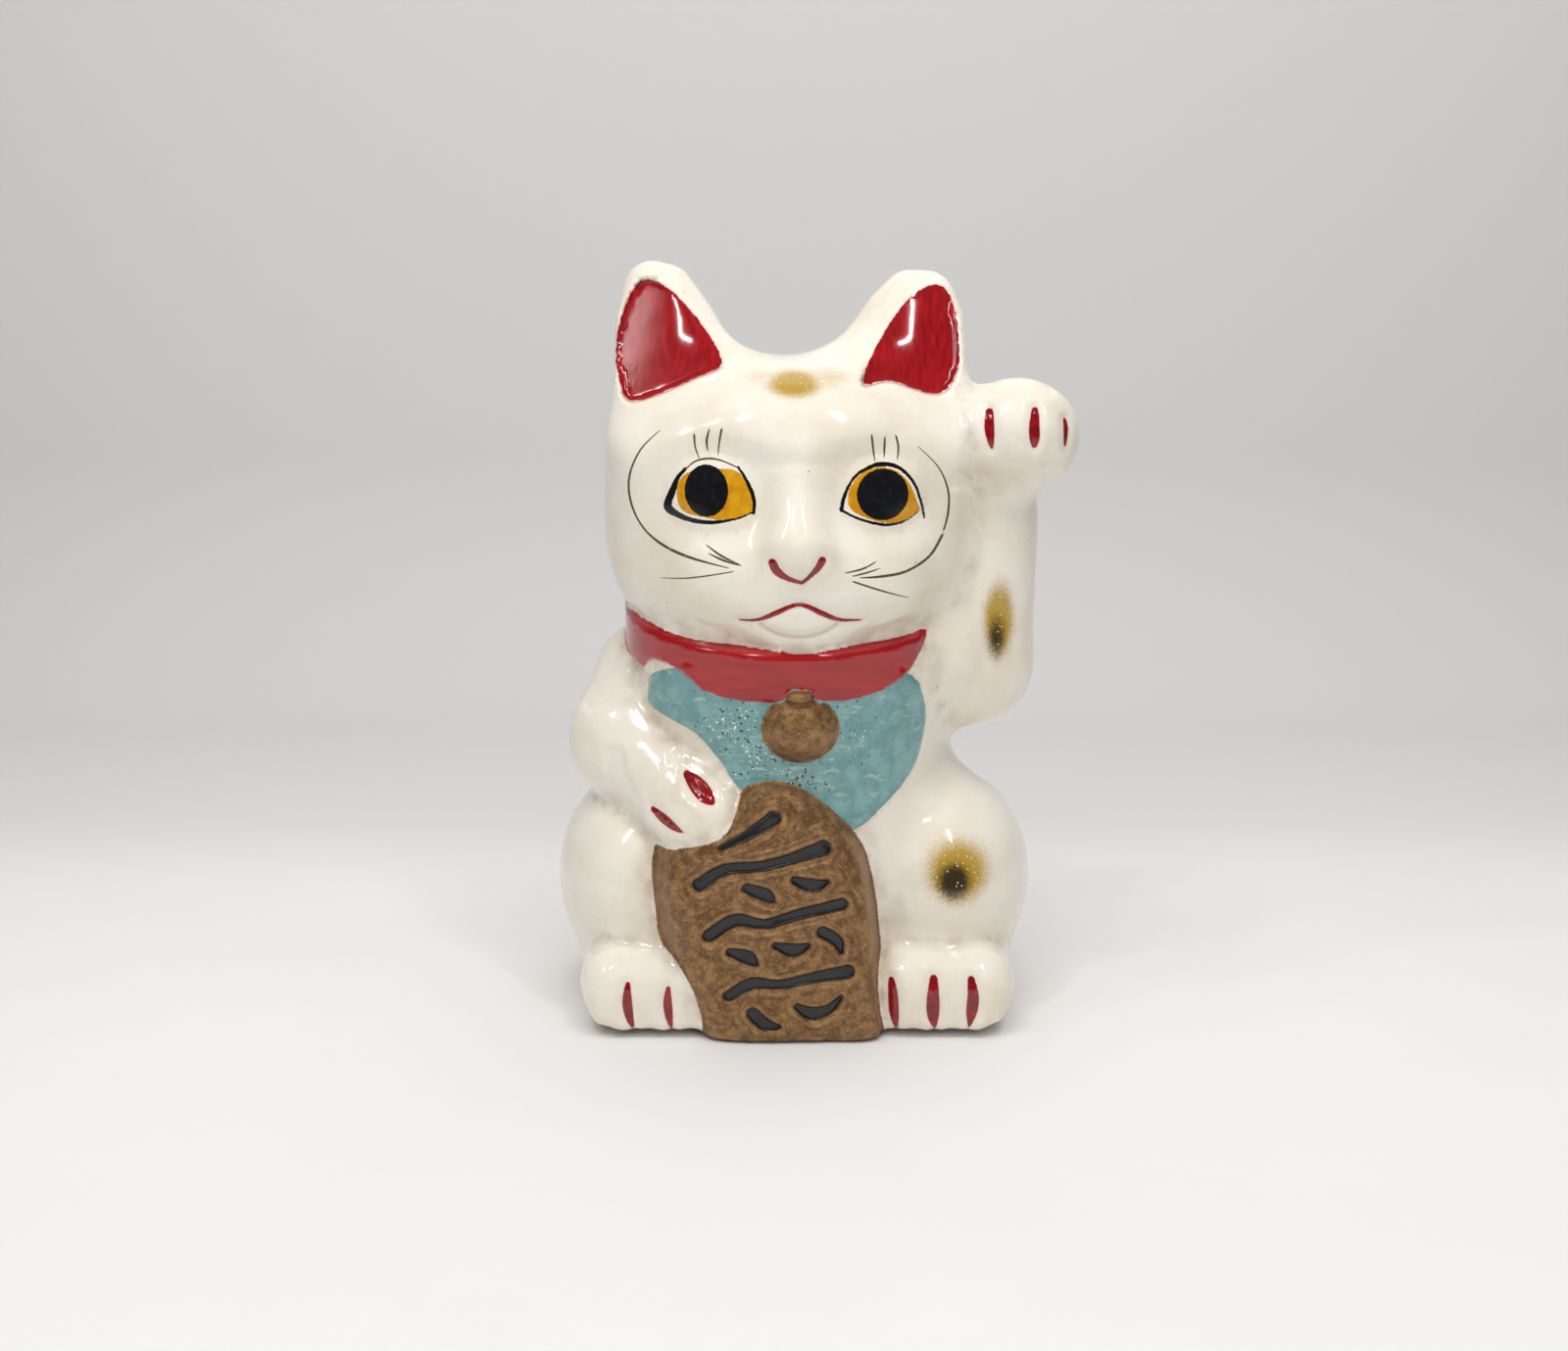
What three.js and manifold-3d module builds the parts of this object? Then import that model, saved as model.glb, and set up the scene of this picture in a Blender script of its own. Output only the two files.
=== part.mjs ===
// A beckoning cat made as a coin bank: one slip-cast, glazed ceramic figure and the rubber stopper in its base.
// Millimetres, +Z up, the cat faces -Y, +X is on the viewer's right. The origin is under the middle of the
// figure's box, on the surface that it stands on.
import * as THREE from "three";
import { mergeVertices } from "three/addons/utils/BufferGeometryUtils.js";
import Module from "manifold-3d";

// Driving dimensions. Places are in the sculptor's frame, whose axes are those of the part.
const ORIGIN = [5.46, -3.98, 0]; // where the part's origin lies in the sculptor's frame
const WALL = 5; // thickness of the cast wall
const ARM_WALL = 9; // and in the raised arm, where the slip builds up and fills the paw
const FLOOR = 6; // thickness of the base
const SKIN_CELL = 3.7; // size of the grid that the outside is first meshed on
const HOLLOW_CELL = 10; // and the inside
const SKIN_FACETS = 7400; // triangles left outside
const HOLLOW_FACETS = 1200; // and inside
const LONG_EDGE_COST = 2e-4; // keeps the facets from growing too long
const NEAR_ENOUGH = 0.003; // how near to the surface a vertex is brought
const BASE_ROUND = 4; // how softly the sides turn under at the base

const HEAD = { centre: [-1.8, -7, 160.6], radii: [60.2, 50, 49.2], power: 2.5 };
const MUZZLE = { centre: [0.5, -47, 140], radii: [34, 17.5, 17] };
const CHIN = { centre: [1, -50, 126], radii: [14, 10.5, 7.5] };
const NOSE = { from: [0.3, -53, 170], to: [0.5, -62.5, 152.5], radii: [5, 6.8] };
const EYE_SOCKET = { height: 168, apart: 26, radii: [27, 19], depth: 1.6 };
const EYEBALLS = [
  { centre: [-25.5, 168], radii: [16, 12.5], rise: 2.2 },
  { centre: [26, 168], radii: [14.5, 12], rise: 2.2 },
];
const BROW = { centre: [0, 190], radii: [34, 14], rise: 2.6 };

const EAR_ROUND = 9.5; // radius of the ears' edges
const EAR_BASE = 200; // height at which the ears leave the head
const EARS = [
  {
    side: -1,
    core: [[-48, 186], [-48.3, 221], [-46.4, 230.6], [-42, 229.4], [-35.5, 220.5], [-25.5, 204], [-25, 188]],
    panel: [[-55.8, 202], [-57.5, 214], [-52.5, 230], [-46, 233.3], [-35, 225.5], [-23.2, 208], [-31, 202.5], [-51, 194.8]],
  },
  {
    side: 1,
    core: [[44.5, 186], [45, 212], [44.7, 220], [41.9, 227.3], [36.8, 227.6], [31, 222], [19, 205], [19, 188]],
    panel: [[51.5, 210], [50, 226], [44.5, 232], [33, 224.5], [20, 201.5], [29, 201.5], [43, 197.3], [49, 201]],
  },
];

const TORSO = { centre: [-1, 2, 60], radii: [54, 48, 70], power: 2.4 };
const NECK = { centre: [-1.5, -7.5, 112], radii: [50.5, 47.5, 36], power: 2.6 };
const BELLY = { centre: [0, -22, 70], radii: [36, 32, 50] };
const THIGHS = [
  { centre: [-46, -8, 41], radii: [32.5, 44, 36], blend: 12 },
  { centre: [46, -12, 42], radii: [31, 42, 34], blend: 10 },
];
const FEET = [
  { centre: [-45, -35, 8], half: [23.5, 27.5, 18] },
  { centre: [46, -35, 8], half: [23, 27.5, 18] },
];
const FOOT_ROUND = 12;
const FOOT_SIDES = [-66.5, 67]; // where the outer sides of the feet start to turn under
const FOOT_RISE = { from: -52, slope: 0.2 }; // the undersides of the feet rise towards the toes
const RUMP = { centre: [-1, 4, 20], half: [63, 44, 34], round: 28 };
const UNDERSIDE = { centre: [0, -18, 2], half: [58, 34, 10], round: 8 }; // fills in between the feet
const TAIL = [
  { from: [-14, 46, 12], to: [4, 51, 13], radii: [10, 9.5] },
  { from: [4, 51, 13], to: [19, 50.5, 19], radii: [9.5, 9] },
  { from: [19, 50.5, 19], to: [29, 46, 31], radii: [9, 8] },
];

const COIN_ARM = [
  { from: [-46.5, 0, 103], to: [-52.7, -14, 86], radii: [20.8, 19.9] },
  { from: [-52.5, -16, 86], to: [-27, -45.5, 65.5], radii: [19.4, 16.8] },
];
const RAISED_ARM = [
  { from: [56.2, -9, 111], to: [60, -12, 158], radii: [21.2, 18] },
  { from: [55, -12, 112], to: [46, -22, 116], radii: [20, 17] },
];
const RAISED_PAW = { centre: [69.6, -22, 184.8], radii: [19.9, 20, 17.9] };

const PLATE = {
  outline: [[-37.5, 54.5], [-22.5, 63.5], [-13.5, 74.3], [-4, 75.8], [5, 70.5], [14.5, 59.5], [18.5, 45],
    [21.2, 14], [20, -6], [-22, -6], [-28, 9], [-36.8, 34]],
  front: -67.5, // at the foot, and the plate leans back from there
  lean: 0.05,
  round: 4,
  draft: 16,
  depth: 24,
};
const COLLAR = { centre: [-1.3, -7.9, 126.7], radii: [51, 50], half: [1.6, 6], round: 1.8, tilt: 13.5 };
const BELL = { centre: [1, -52, 97], radii: [11.9, 11.5, 10.9] };

const SLOT = { width: 38, height: 5, z: 166, from: 20, to: 60 }; // the coin slot, in the back of the head
const HOLE = { x: 0, y: 2, radius: 16, recess: 20.5, recessDepth: 2.5 }; // the hole in the base
const GAP = 0.3; // clearance round the stopper
const STOPPER = { flange: 19.5, under: 0.6, dimple: 8, dimpleDepth: 0.8, lip: 17.3, top: 9 };
const ROUND_SIDES = 32;

// Two forms join with a fillet of about `k`.
function join(a, b, k) {
  const h = Math.max(k - Math.abs(a - b), 0) / k;
  return Math.min(a, b) - (h * h * k) / 4;
}

function cut(a, b, k) {
  return -join(-a, -b, k);
}

function ellipsoid(p, { centre, radii, power = 2 }) {
  const q = p.map((v, i) => Math.abs(v - centre[i]) / radii[i] + 1e-9);
  const k = Math.pow(q[0] ** power + q[1] ** power + q[2] ** power, 1 / power);
  const slope = q.map((v, i) => (v / k) ** (power - 1) / radii[i]);
  return (k - 1) / Math.hypot(...slope);
}

// A limb between two points, with its own radius at each end.
function limb(p, { from, to, radii }) {
  const along = to.map((v, i) => v - from[i]);
  const off = p.map((v, i) => v - from[i]);
  const reach = along.reduce((s, v) => s + v * v, 0);
  const t = THREE.MathUtils.clamp(off.reduce((s, v, i) => s + v * along[i], 0) / reach, 0, 1);
  return Math.hypot(...off.map((v, i) => v - along[i] * t)) - THREE.MathUtils.lerp(radii[0], radii[1], t);
}

function roundBox(p, { centre, half }, round) {
  const q = p.map((v, i) => Math.abs(v - centre[i]) - half[i] + round);
  return Math.hypot(...q.map((v) => Math.max(v, 0))) + Math.min(Math.max(...q), 0) - round;
}

// Signed distance in the front view to a closed outline.
function outlineDistance(x, z, outline) {
  let nearest = Infinity;
  let inside = false;
  outline.forEach(([ax, az], i) => {
    const [bx, bz] = outline[(i + outline.length - 1) % outline.length];
    const [ex, ez] = [bx - ax, bz - az];
    const t = THREE.MathUtils.clamp(((x - ax) * ex + (z - az) * ez) / (ex * ex + ez * ez), 0, 1);
    nearest = Math.min(nearest, Math.hypot(x - ax - ex * t, z - az - ez * t));
    if (az > z !== bz > z && x < ((bx - ax) * (z - az)) / (bz - az) + ax) inside = !inside;
  });
  return inside ? -nearest : nearest;
}

function smoothOutline(points) {
  const loop = points.map(([x, z]) => new THREE.Vector3(x, z, 0));
  const curve = new THREE.CatmullRomCurve3(loop, true, "catmullrom", 0.5);
  return curve.getPoints(points.length * 4).slice(1).map((v) => [v.x, v.y]);
}

function dome(x, z, { centre, radii }) {
  return Math.max(1 - ((x - centre[0]) / radii[0]) ** 2 - ((z - centre[1]) / radii[1]) ** 2, 0);
}

function hill(x, z, shape) {
  const q = dome(x, z, shape);
  return q * q * (3 - 2 * q);
}

const panels = EARS.map((ear) => smoothOutline(ear.panel));
const plateOutline = smoothOutline(PLATE.outline);

// An ear is a flat form rounded all round, thick at the head and thin at the tip.
function earForm([x, y, z], ear) {
  const up = z - EAR_BASE;
  const middle = -3 + 0.12 * up;
  const halfDepth = Math.max(24 - 0.42 * up, EAR_ROUND);
  const a = outlineDistance(x, z, ear.core);
  const b = Math.abs(y - middle) - halfDepth + EAR_ROUND;
  return Math.hypot(Math.max(a, 0), Math.max(b, 0)) + Math.min(Math.max(a, b), 0) - EAR_ROUND;
}

// The red panel of an ear is sunk to a sloping floor.
function earPanel([x, y, z], ear, panel) {
  const floor = -25 + 0.5 * (z - EAR_BASE) + 0.34 * (ear.side * x - 40);
  return cut(outlineDistance(x, z, panel), 0.85 * (y - floor), 2);
}

function faceRelief([x, y, z]) {
  const front = THREE.MathUtils.smoothstep(-25 - y, 0, 15);
  const sockets = [-1, 1].map((side) =>
    hill(x, z, { centre: [side * EYE_SOCKET.apart, EYE_SOCKET.height], radii: EYE_SOCKET.radii }));
  const balls = EYEBALLS.map((eye) => eye.rise * dome(x, z, eye));
  return front * (balls[0] + balls[1] + BROW.rise * hill(x, z, BROW) - EYE_SOCKET.depth * (sockets[0] + sockets[1]));
}

function headCore(p) {
  let f = ellipsoid(p, HEAD);
  f = join(f, ellipsoid(p, MUZZLE), 16);
  return f;
}

function head(p) {
  let f = ellipsoid(p, HEAD);
  for (const ear of EARS) f = join(f, 0.93 * earForm(p, ear), 12);
  f = join(f, ellipsoid(p, MUZZLE), 16);
  f = join(f, ellipsoid(p, CHIN), 8);
  f = join(f, limb(p, NOSE), 12);
  f -= faceRelief(p);
  EARS.forEach((ear, i) => {
    f = cut(f, -earPanel(p, ear, panels[i]), 1.5);
  });
  return f;
}

function bodyCore(p, footBlend) {
  let f = ellipsoid(p, TORSO);
  f = join(f, ellipsoid(p, NECK), 12);
  for (const thigh of THIGHS) f = join(f, ellipsoid(p, thigh), thigh.blend);
  f = join(f, ellipsoid(p, BELLY), 16);
  const rise = FOOT_RISE.slope * (FOOT_RISE.from - p[1]) - p[2];
  for (const foot of FEET) f = join(f, cut(roundBox(p, foot, FOOT_ROUND), rise, 3), footBlend);
  return join(f, roundBox(p, RUMP, RUMP.round), 18);
}

function body(p) {
  const [x, , z] = p;
  let f = bodyCore(p, 7);
  f = join(f, roundBox(p, UNDERSIDE, UNDERSIDE.round), 5);
  f = join(f, TAIL.map((piece) => limb(p, piece)).reduce((a, b) => join(a, b, 6)), 6);
  const under = 0.75 * (6 - z);
  f = cut(f, 0.8 * (FOOT_SIDES[0] - x + under), 7);
  return cut(f, 0.8 * (x - FOOT_SIDES[1] + under), 7);
}

function coinArm(p) {
  return join(limb(p, COIN_ARM[0]), limb(p, COIN_ARM[1]), 8);
}

function raisedLimb(p) {
  return join(limb(p, RAISED_ARM[0]), limb(p, RAISED_ARM[1]), 6);
}

function raisedArm(p) {
  return join(raisedLimb(p), ellipsoid(p, RAISED_PAW), 9);
}

// The oval coin plate: its sides open out towards the back, most of all on the left.
function plate([x, y, z]) {
  const depth = y - PLATE.front - PLATE.lean * z;
  const sunk = THREE.MathUtils.clamp(depth, 0, PLATE.draft);
  const left = THREE.MathUtils.smoothstep(10 - x, 0, 25);
  const flat = outlineDistance(x + 0.3 * (sunk - 10) * left, z, plateOutline) - PLATE.round;
  return Math.max(cut(0.92 * (flat + 2.2 - 0.22 * sunk), -depth, 6), depth - PLATE.depth);
}

function collar([x, y, z]) {
  const tilt = THREE.MathUtils.degToRad(COLLAR.tilt);
  const up = z - COLLAR.centre[2];
  const back = y * Math.cos(tilt) + up * Math.sin(tilt);
  const height = up * Math.cos(tilt) - y * Math.sin(tilt);
  const ring = ellipsoid([x, back, 0], { centre: [COLLAR.centre[0], COLLAR.centre[1], 0], radii: [...COLLAR.radii, 50] });
  const out = Math.max(Math.abs(ring) - COLLAR.half[0], 0);
  return Math.hypot(out, Math.max(Math.abs(height) - COLLAR.half[1], 0)) - COLLAR.round;
}

function figure(p) {
  let f = join(body(p), coinArm(p), 4);
  f = join(f, head(p), 5);
  f = join(f, raisedArm(p), 9);
  f = join(f, collar(p), 1.5);
  f = join(f, ellipsoid(p, BELL), 1.5);
  f = join(f, plate(p), 1.5);
  return cut(f, -p[2], BASE_ROUND);
}

// The hollow follows the outside one wall in, without the small relief, as slip leaves it.
function hollow(p) {
  let f = join(bodyCore(p, 12), coinArm(p), 14);
  f = join(f, headCore(p), 10);
  f = join(f, raisedLimb(p) + ARM_WALL - WALL, 10);
  return cut(f + WALL, FLOOR - p[2], 6);
}

function slopeOf(field, p) {
  const step = 0.05;
  return [0, 1, 2].map((i) => {
    const [low, high] = [[...p], [...p]];
    low[i] -= step;
    high[i] += step;
    return (field(high) - field(low)) / (2 * step);
  });
}

// Moves a point on to the surface where the field is zero.
function settle(field, start) {
  let p = start;
  for (let round = 0; round < 6; round++) {
    const value = field(p);
    if (Math.abs(value) < NEAR_ENOUGH) break;
    const slope = slopeOf(field, p);
    const size = slope.reduce((s, v) => s + v * v, 0);
    const shift = THREE.MathUtils.clamp(value, -1.5, 1.5) / Math.max(size, 0.2);
    p = p.map((v, i) => v - slope[i] * shift);
  }
  return p;
}

// A closed mesh of the surface where the field is zero: one vertex in each grid cell that the surface crosses,
// and two triangles for each grid edge that it crosses.
function meshField(field, low, high, cell) {
  const count = low.map((v, i) => Math.ceil((high[i] - v) / cell) + 1);
  const stride = [1, count[0], count[0] * count[1]];
  const at = (c) => c[0] + c[1] * stride[1] + c[2] * stride[2];
  const place = (c) => c.map((v, i) => low[i] + v * cell);
  const values = new Float32Array(count[0] * count[1] * count[2]);
  const cells = [];
  for (let k = 0; k < count[2]; k++)
    for (let j = 0; j < count[1]; j++)
      for (let i = 0; i < count[0]; i++) {
        values[at([i, j, k])] = field(place([i, j, k]));
        cells.push([i, j, k]);
      }

  const vertexOf = new Map();
  const positions = [];
  for (const c of cells) {
    if (c.some((v, i) => v >= count[i] - 1)) continue;
    const crossings = [];
    for (let axis = 0; axis < 3; axis++)
      for (let corner = 0; corner < 4; corner++) {
        const a = [...c];
        a[(axis + 1) % 3] += corner & 1;
        a[(axis + 2) % 3] += corner >> 1;
        const b = [...a];
        b[axis] += 1;
        const [va, vb] = [values[at(a)], values[at(b)]];
        if (va < 0 === vb < 0) continue;
        const point = place(a);
        point[axis] += (cell * va) / (va - vb);
        crossings.push(point);
      }
    if (!crossings.length) continue;
    const middle = [0, 1, 2].map((i) => crossings.reduce((s, v) => s + v[i], 0) / crossings.length);
    vertexOf.set(at(c), positions.length / 3);
    positions.push(...settle(field, middle));
  }

  const index = [];
  for (const c of cells)
    for (let axis = 0; axis < 3; axis++) {
      const next = [...c];
      next[axis] += 1;
      const [u, v] = [(axis + 1) % 3, (axis + 2) % 3];
      if (next[axis] >= count[axis] || !c[u] || !c[v]) continue;
      const [va, vb] = [values[at(c)], values[at(next)]];
      if (va < 0 === vb < 0) continue;
      const quad = [[1, 1], [0, 1], [0, 0], [1, 0]].map(([du, dv]) =>
        vertexOf.get(at(c) - du * stride[u] - dv * stride[v]));
      if (va > 0) quad.reverse();
      const corner = quad.map((n) => new THREE.Vector3().fromArray(positions, 3 * n));
      const across = corner[0].distanceTo(corner[2]) > corner[1].distanceTo(corner[3]);
      const order = across ? [1, 2, 3, 1, 3, 0] : [0, 1, 2, 0, 2, 3];
      index.push(...order.map((n) => quad[n]));
    }

  const geometry = new THREE.BufferGeometry();
  geometry.setAttribute("position", new THREE.Float32BufferAttribute(positions, 3));
  geometry.setIndex(index);
  return geometry;
}

// Squared distance to a plane as a quadric, in the order xx xy xz xw yy yz yw zz zw ww.
function planeQuadric(normal, offset, weight) {
  const plane = [...normal, offset];
  return plane.flatMap((a, i) => plane.slice(i).map((b) => a * b * weight));
}

function quadricAt(q, [x, y, z]) {
  return q[0] * x * x + q[4] * y * y + q[7] * z * z + q[9]
    + 2 * (q[1] * x * y + q[2] * x * z + q[5] * y * z + q[3] * x + q[6] * y + q[8] * z);
}

// The point with the least error, drawn a little towards the edge's middle so that flat places have one too.
function bestPoint(q, middle) {
  const pull = 1e-3 * (q[0] + q[4] + q[7]) + 1e-9;
  const m = new THREE.Matrix3().set(q[0] + pull, q[1], q[2], q[1], q[4] + pull, q[5], q[2], q[5], q[7] + pull);
  const target = new THREE.Vector3(pull * middle[0] - q[3], pull * middle[1] - q[6], pull * middle[2] - q[8]);
  return target.applyMatrix3(m.invert()).toArray();
}

function faceNormal(a, b, c) {
  const [u, v] = [b, c].map((p) => new THREE.Vector3().fromArray(p).sub(new THREE.Vector3().fromArray(a)));
  return u.cross(v);
}

class Heap {
  items = [];

  push(item) {
    const list = this.items;
    let at = list.push(item) - 1;
    while (at > 0) {
      const parent = (at - 1) >> 1;
      if (list[parent].cost <= list[at].cost) break;
      [list[parent], list[at]] = [list[at], list[parent]];
      at = parent;
    }
  }

  pop() {
    const list = this.items;
    const top = list[0];
    const last = list.pop();
    if (!list.length) return top;
    list[0] = last;
    let at = 0;
    for (;;) {
      let least = at;
      for (const child of [2 * at + 1, 2 * at + 2])
        if (child < list.length && list[child].cost < list[least].cost) least = child;
      if (least === at) return top;
      [list[least], list[at]] = [list[at], list[least]];
      at = least;
    }
  }
}

// Joins the ends of the cheapest edges until `target` triangles are left, so that flat places get large facets
// and carved ones keep small facets. The mesh stays closed.
function simplify(geometry, target) {
  const xyz = geometry.attributes.position.array;
  const corners = geometry.index.array;
  const points = Array.from({ length: xyz.length / 3 }, (_, i) => [...xyz.slice(3 * i, 3 * i + 3)]);
  const faces = Array.from({ length: corners.length / 3 }, (_, i) => [...corners.slice(3 * i, 3 * i + 3)]);
  const facesOf = points.map(() => new Set());
  const quadric = points.map(() => new Array(10).fill(0));
  const version = new Array(points.length).fill(0);
  faces.forEach((face, n) => {
    const normal = faceNormal(...face.map((v) => points[v]));
    const area = normal.length();
    normal.normalize();
    const q = planeQuadric(normal.toArray(), -normal.dot(new THREE.Vector3().fromArray(points[face[0]])), area);
    for (const v of face) {
      facesOf[v].add(n);
      quadric[v] = quadric[v].map((value, i) => value + q[i]);
    }
  });

  const neighbours = (v) => new Set([...facesOf[v]].flatMap((n) => faces[n].filter((w) => w !== v)));
  const heap = new Heap();
  const offer = (a, b) => {
    const q = quadric[a].map((value, i) => value + quadric[b][i]);
    const middle = points[a].map((value, i) => (value + points[b][i]) / 2);
    const point = bestPoint(q, middle);
    const length2 = points[a].reduce((s, value, i) => s + (value - points[b][i]) ** 2, 0);
    heap.push({ cost: quadricAt(q, point) + LONG_EDGE_COST * length2 * length2, a, b, q, point, at: [version[a], version[b]] });
  };
  const turnsOver = (v, other, point) => [...facesOf[v]].some((n) => {
    if (faces[n].includes(other)) return false;
    const before = faceNormal(...faces[n].map((w) => points[w])).normalize();
    const after = faceNormal(...faces[n].map((w) => (w === v ? point : points[w])));
    return after.length() < 1e-3 || before.dot(after.normalize()) < 0.3;
  });

  points.forEach((_, a) => neighbours(a).forEach((b) => a < b && offer(a, b)));
  let left = faces.length;
  while (left > target && heap.items.length) {
    const { a, b, q, point, at } = heap.pop();
    if (at[0] !== version[a] || at[1] !== version[b]) continue;
    const around = neighbours(a);
    const shared = [...neighbours(b)].filter((v) => around.has(v));
    if (shared.length !== 2 || turnsOver(a, b, point) || turnsOver(b, a, point)) continue;
    points[a] = point;
    quadric[a] = q;
    for (const n of facesOf[b]) {
      if (faces[n].includes(a)) {
        faces[n].forEach((v) => v !== b && facesOf[v].delete(n));
        left -= 1;
      } else {
        faces[n] = faces[n].map((v) => (v === b ? a : v));
        facesOf[a].add(n);
      }
    }
    facesOf[b] = new Set();
    version[a] += 1;
    version[b] = -1;
    for (const v of neighbours(a)) offer(Math.min(a, v), Math.max(a, v));
  }

  const kept = [...new Set(facesOf.flatMap((set) => [...set]))];
  const used = [...new Set(kept.flatMap((n) => faces[n]))];
  const renamed = new Map(used.map((v, i) => [v, i]));
  const simple = new THREE.BufferGeometry();
  simple.setAttribute("position", new THREE.Float32BufferAttribute(used.flatMap((v) => points[v]), 3));
  simple.setIndex(kept.flatMap((n) => faces[n].map((v) => renamed.get(v))));
  return simple;
}

// Puts the vertices back on the surface, and those of the base exactly on the ground.
function resettle(geometry, field, flat) {
  const position = geometry.attributes.position;
  for (let i = 0; i < position.count; i++) {
    const p = settle(field, [position.getX(i), position.getY(i), position.getZ(i)]);
    if (Math.abs(p[2] - flat) < 0.05) p[2] = flat;
    position.setXYZ(i, ...p);
  }
  return geometry;
}

const wasm = await Module();
wasm.setup();

function solidOf(geometry) {
  const bare = geometry.clone();
  bare.deleteAttribute("normal");
  bare.deleteAttribute("uv");
  const merged = mergeVertices(bare, 1e-4);
  return new wasm.Manifold(new wasm.Mesh({
    numProp: 3,
    vertProperties: Float32Array.from(merged.attributes.position.array),
    triVerts: Uint32Array.from(merged.index.array),
  }));
}

function geometryOf(solid) {
  const { vertProperties, triVerts } = solid.getMesh();
  const geometry = new THREE.BufferGeometry();
  geometry.setAttribute("position", new THREE.BufferAttribute(Float32Array.from(vertProperties), 3));
  geometry.setIndex(new THREE.BufferAttribute(Uint32Array.from(triVerts), 1));
  return geometry;
}

// A round plug about the hole's axis, between two heights.
function plug(radius, low, high) {
  const geometry = new THREE.CylinderGeometry(radius, radius, high - low, ROUND_SIDES);
  geometry.rotateX(Math.PI / 2);
  return geometry.translate(HOLE.x, HOLE.y, (low + high) / 2);
}

function slotBlock() {
  const length = SLOT.to - SLOT.from;
  const geometry = new THREE.BoxGeometry(SLOT.width, length, SLOT.height);
  return geometry.translate(HEAD.centre[0], SLOT.from + length / 2, SLOT.z);
}

function catSolid() {
  const low = [-92, -84, -SKIN_CELL / 2];
  const skin = resettle(simplify(meshField(figure, low, [104, 72, 250], SKIN_CELL), SKIN_FACETS), figure, 0);
  const room = meshField(hollow, [-92, -84, 0], [100, 64, 220], HOLLOW_CELL);
  const inner = resettle(simplify(room, HOLLOW_FACETS), hollow, FLOOR);
  return solidOf(skin)
    .subtract(solidOf(inner))
    .subtract(solidOf(slotBlock()))
    .subtract(solidOf(plug(HOLE.radius, -2, FLOOR + 4)))
    .subtract(solidOf(plug(HOLE.recess, -2, HOLE.recessDepth)));
}

// The stopper: a flange in the recess, a neck in the hole and a lip over the floor inside.
function stopperGeometry() {
  const neck = HOLE.radius - GAP;
  const profile = [
    [0, STOPPER.under + STOPPER.dimpleDepth],
    [STOPPER.dimple, STOPPER.under + STOPPER.dimpleDepth],
    [STOPPER.dimple + 1, STOPPER.under],
    [STOPPER.flange, STOPPER.under],
    [STOPPER.flange, HOLE.recessDepth - GAP],
    [neck, HOLE.recessDepth - GAP],
    [neck, FLOOR + GAP],
    [STOPPER.lip, FLOOR + GAP],
    [neck - 1, STOPPER.top],
    [0, STOPPER.top],
  ];
  const geometry = new THREE.LatheGeometry(profile.map(([r, z]) => new THREE.Vector2(r, z)), ROUND_SIDES);
  geometry.rotateX(Math.PI / 2);
  return geometry.translate(HOLE.x, HOLE.y, 0);
}

function place(mesh, name) {
  mesh.name = name;
  mesh.position.set(-ORIGIN[0], -ORIGIN[1], -ORIGIN[2]);
  return mesh;
}

const glaze = new THREE.MeshStandardMaterial({ color: 0xf0ebe2, roughness: 0.12, metalness: 0 });
const rubber = new THREE.MeshStandardMaterial({ color: 0x2a2826, roughness: 0.7, metalness: 0 });

const bank = new THREE.Group();
bank.add(place(new THREE.Mesh(geometryOf(catSolid()), glaze), "cat_body"));
bank.add(place(new THREE.Mesh(stopperGeometry(), rubber), "stopper"));

export default bank;
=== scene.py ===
"""The looks of a beckoning-cat coin bank: one glazed ceramic figure and the rubber stopper in its base.

The figure is one closed mesh, found where a field of joined forms is zero. The field is worked out in
millimetres in the sculptor's frame: +X is the viewer's right, +Y is away from the viewer, +Z is up.
"""

import itertools
import math

import bpy
import numpy as np
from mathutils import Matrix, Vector


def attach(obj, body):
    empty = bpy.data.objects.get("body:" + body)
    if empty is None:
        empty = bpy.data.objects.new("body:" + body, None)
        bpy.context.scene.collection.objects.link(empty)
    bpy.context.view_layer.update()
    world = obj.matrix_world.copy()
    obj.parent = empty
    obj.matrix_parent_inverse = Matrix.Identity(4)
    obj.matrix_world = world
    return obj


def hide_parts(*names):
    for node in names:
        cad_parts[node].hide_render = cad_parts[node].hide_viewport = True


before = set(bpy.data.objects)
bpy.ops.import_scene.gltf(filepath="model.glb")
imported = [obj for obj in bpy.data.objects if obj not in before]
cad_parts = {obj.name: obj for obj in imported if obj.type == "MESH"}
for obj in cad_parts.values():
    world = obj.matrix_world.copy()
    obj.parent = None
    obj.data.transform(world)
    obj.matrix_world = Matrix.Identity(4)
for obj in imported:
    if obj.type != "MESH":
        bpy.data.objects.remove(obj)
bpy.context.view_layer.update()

# Sizes of the figure in mm
ORIGIN = np.array([5.46, -3.98, 0.0])  # where the part's origin lies in the sculptor's frame
METRE = 0.001
BOX_MARGIN = 0.6  # keeps the nose and the tail within the box of the faceted solid
CELL = 1.9  # grid that the surface is first found on
GRID_LOW = (-92.0, -84.0, -1.3)
GRID_HIGH = (100.0, 72.0, 246.0)

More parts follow.
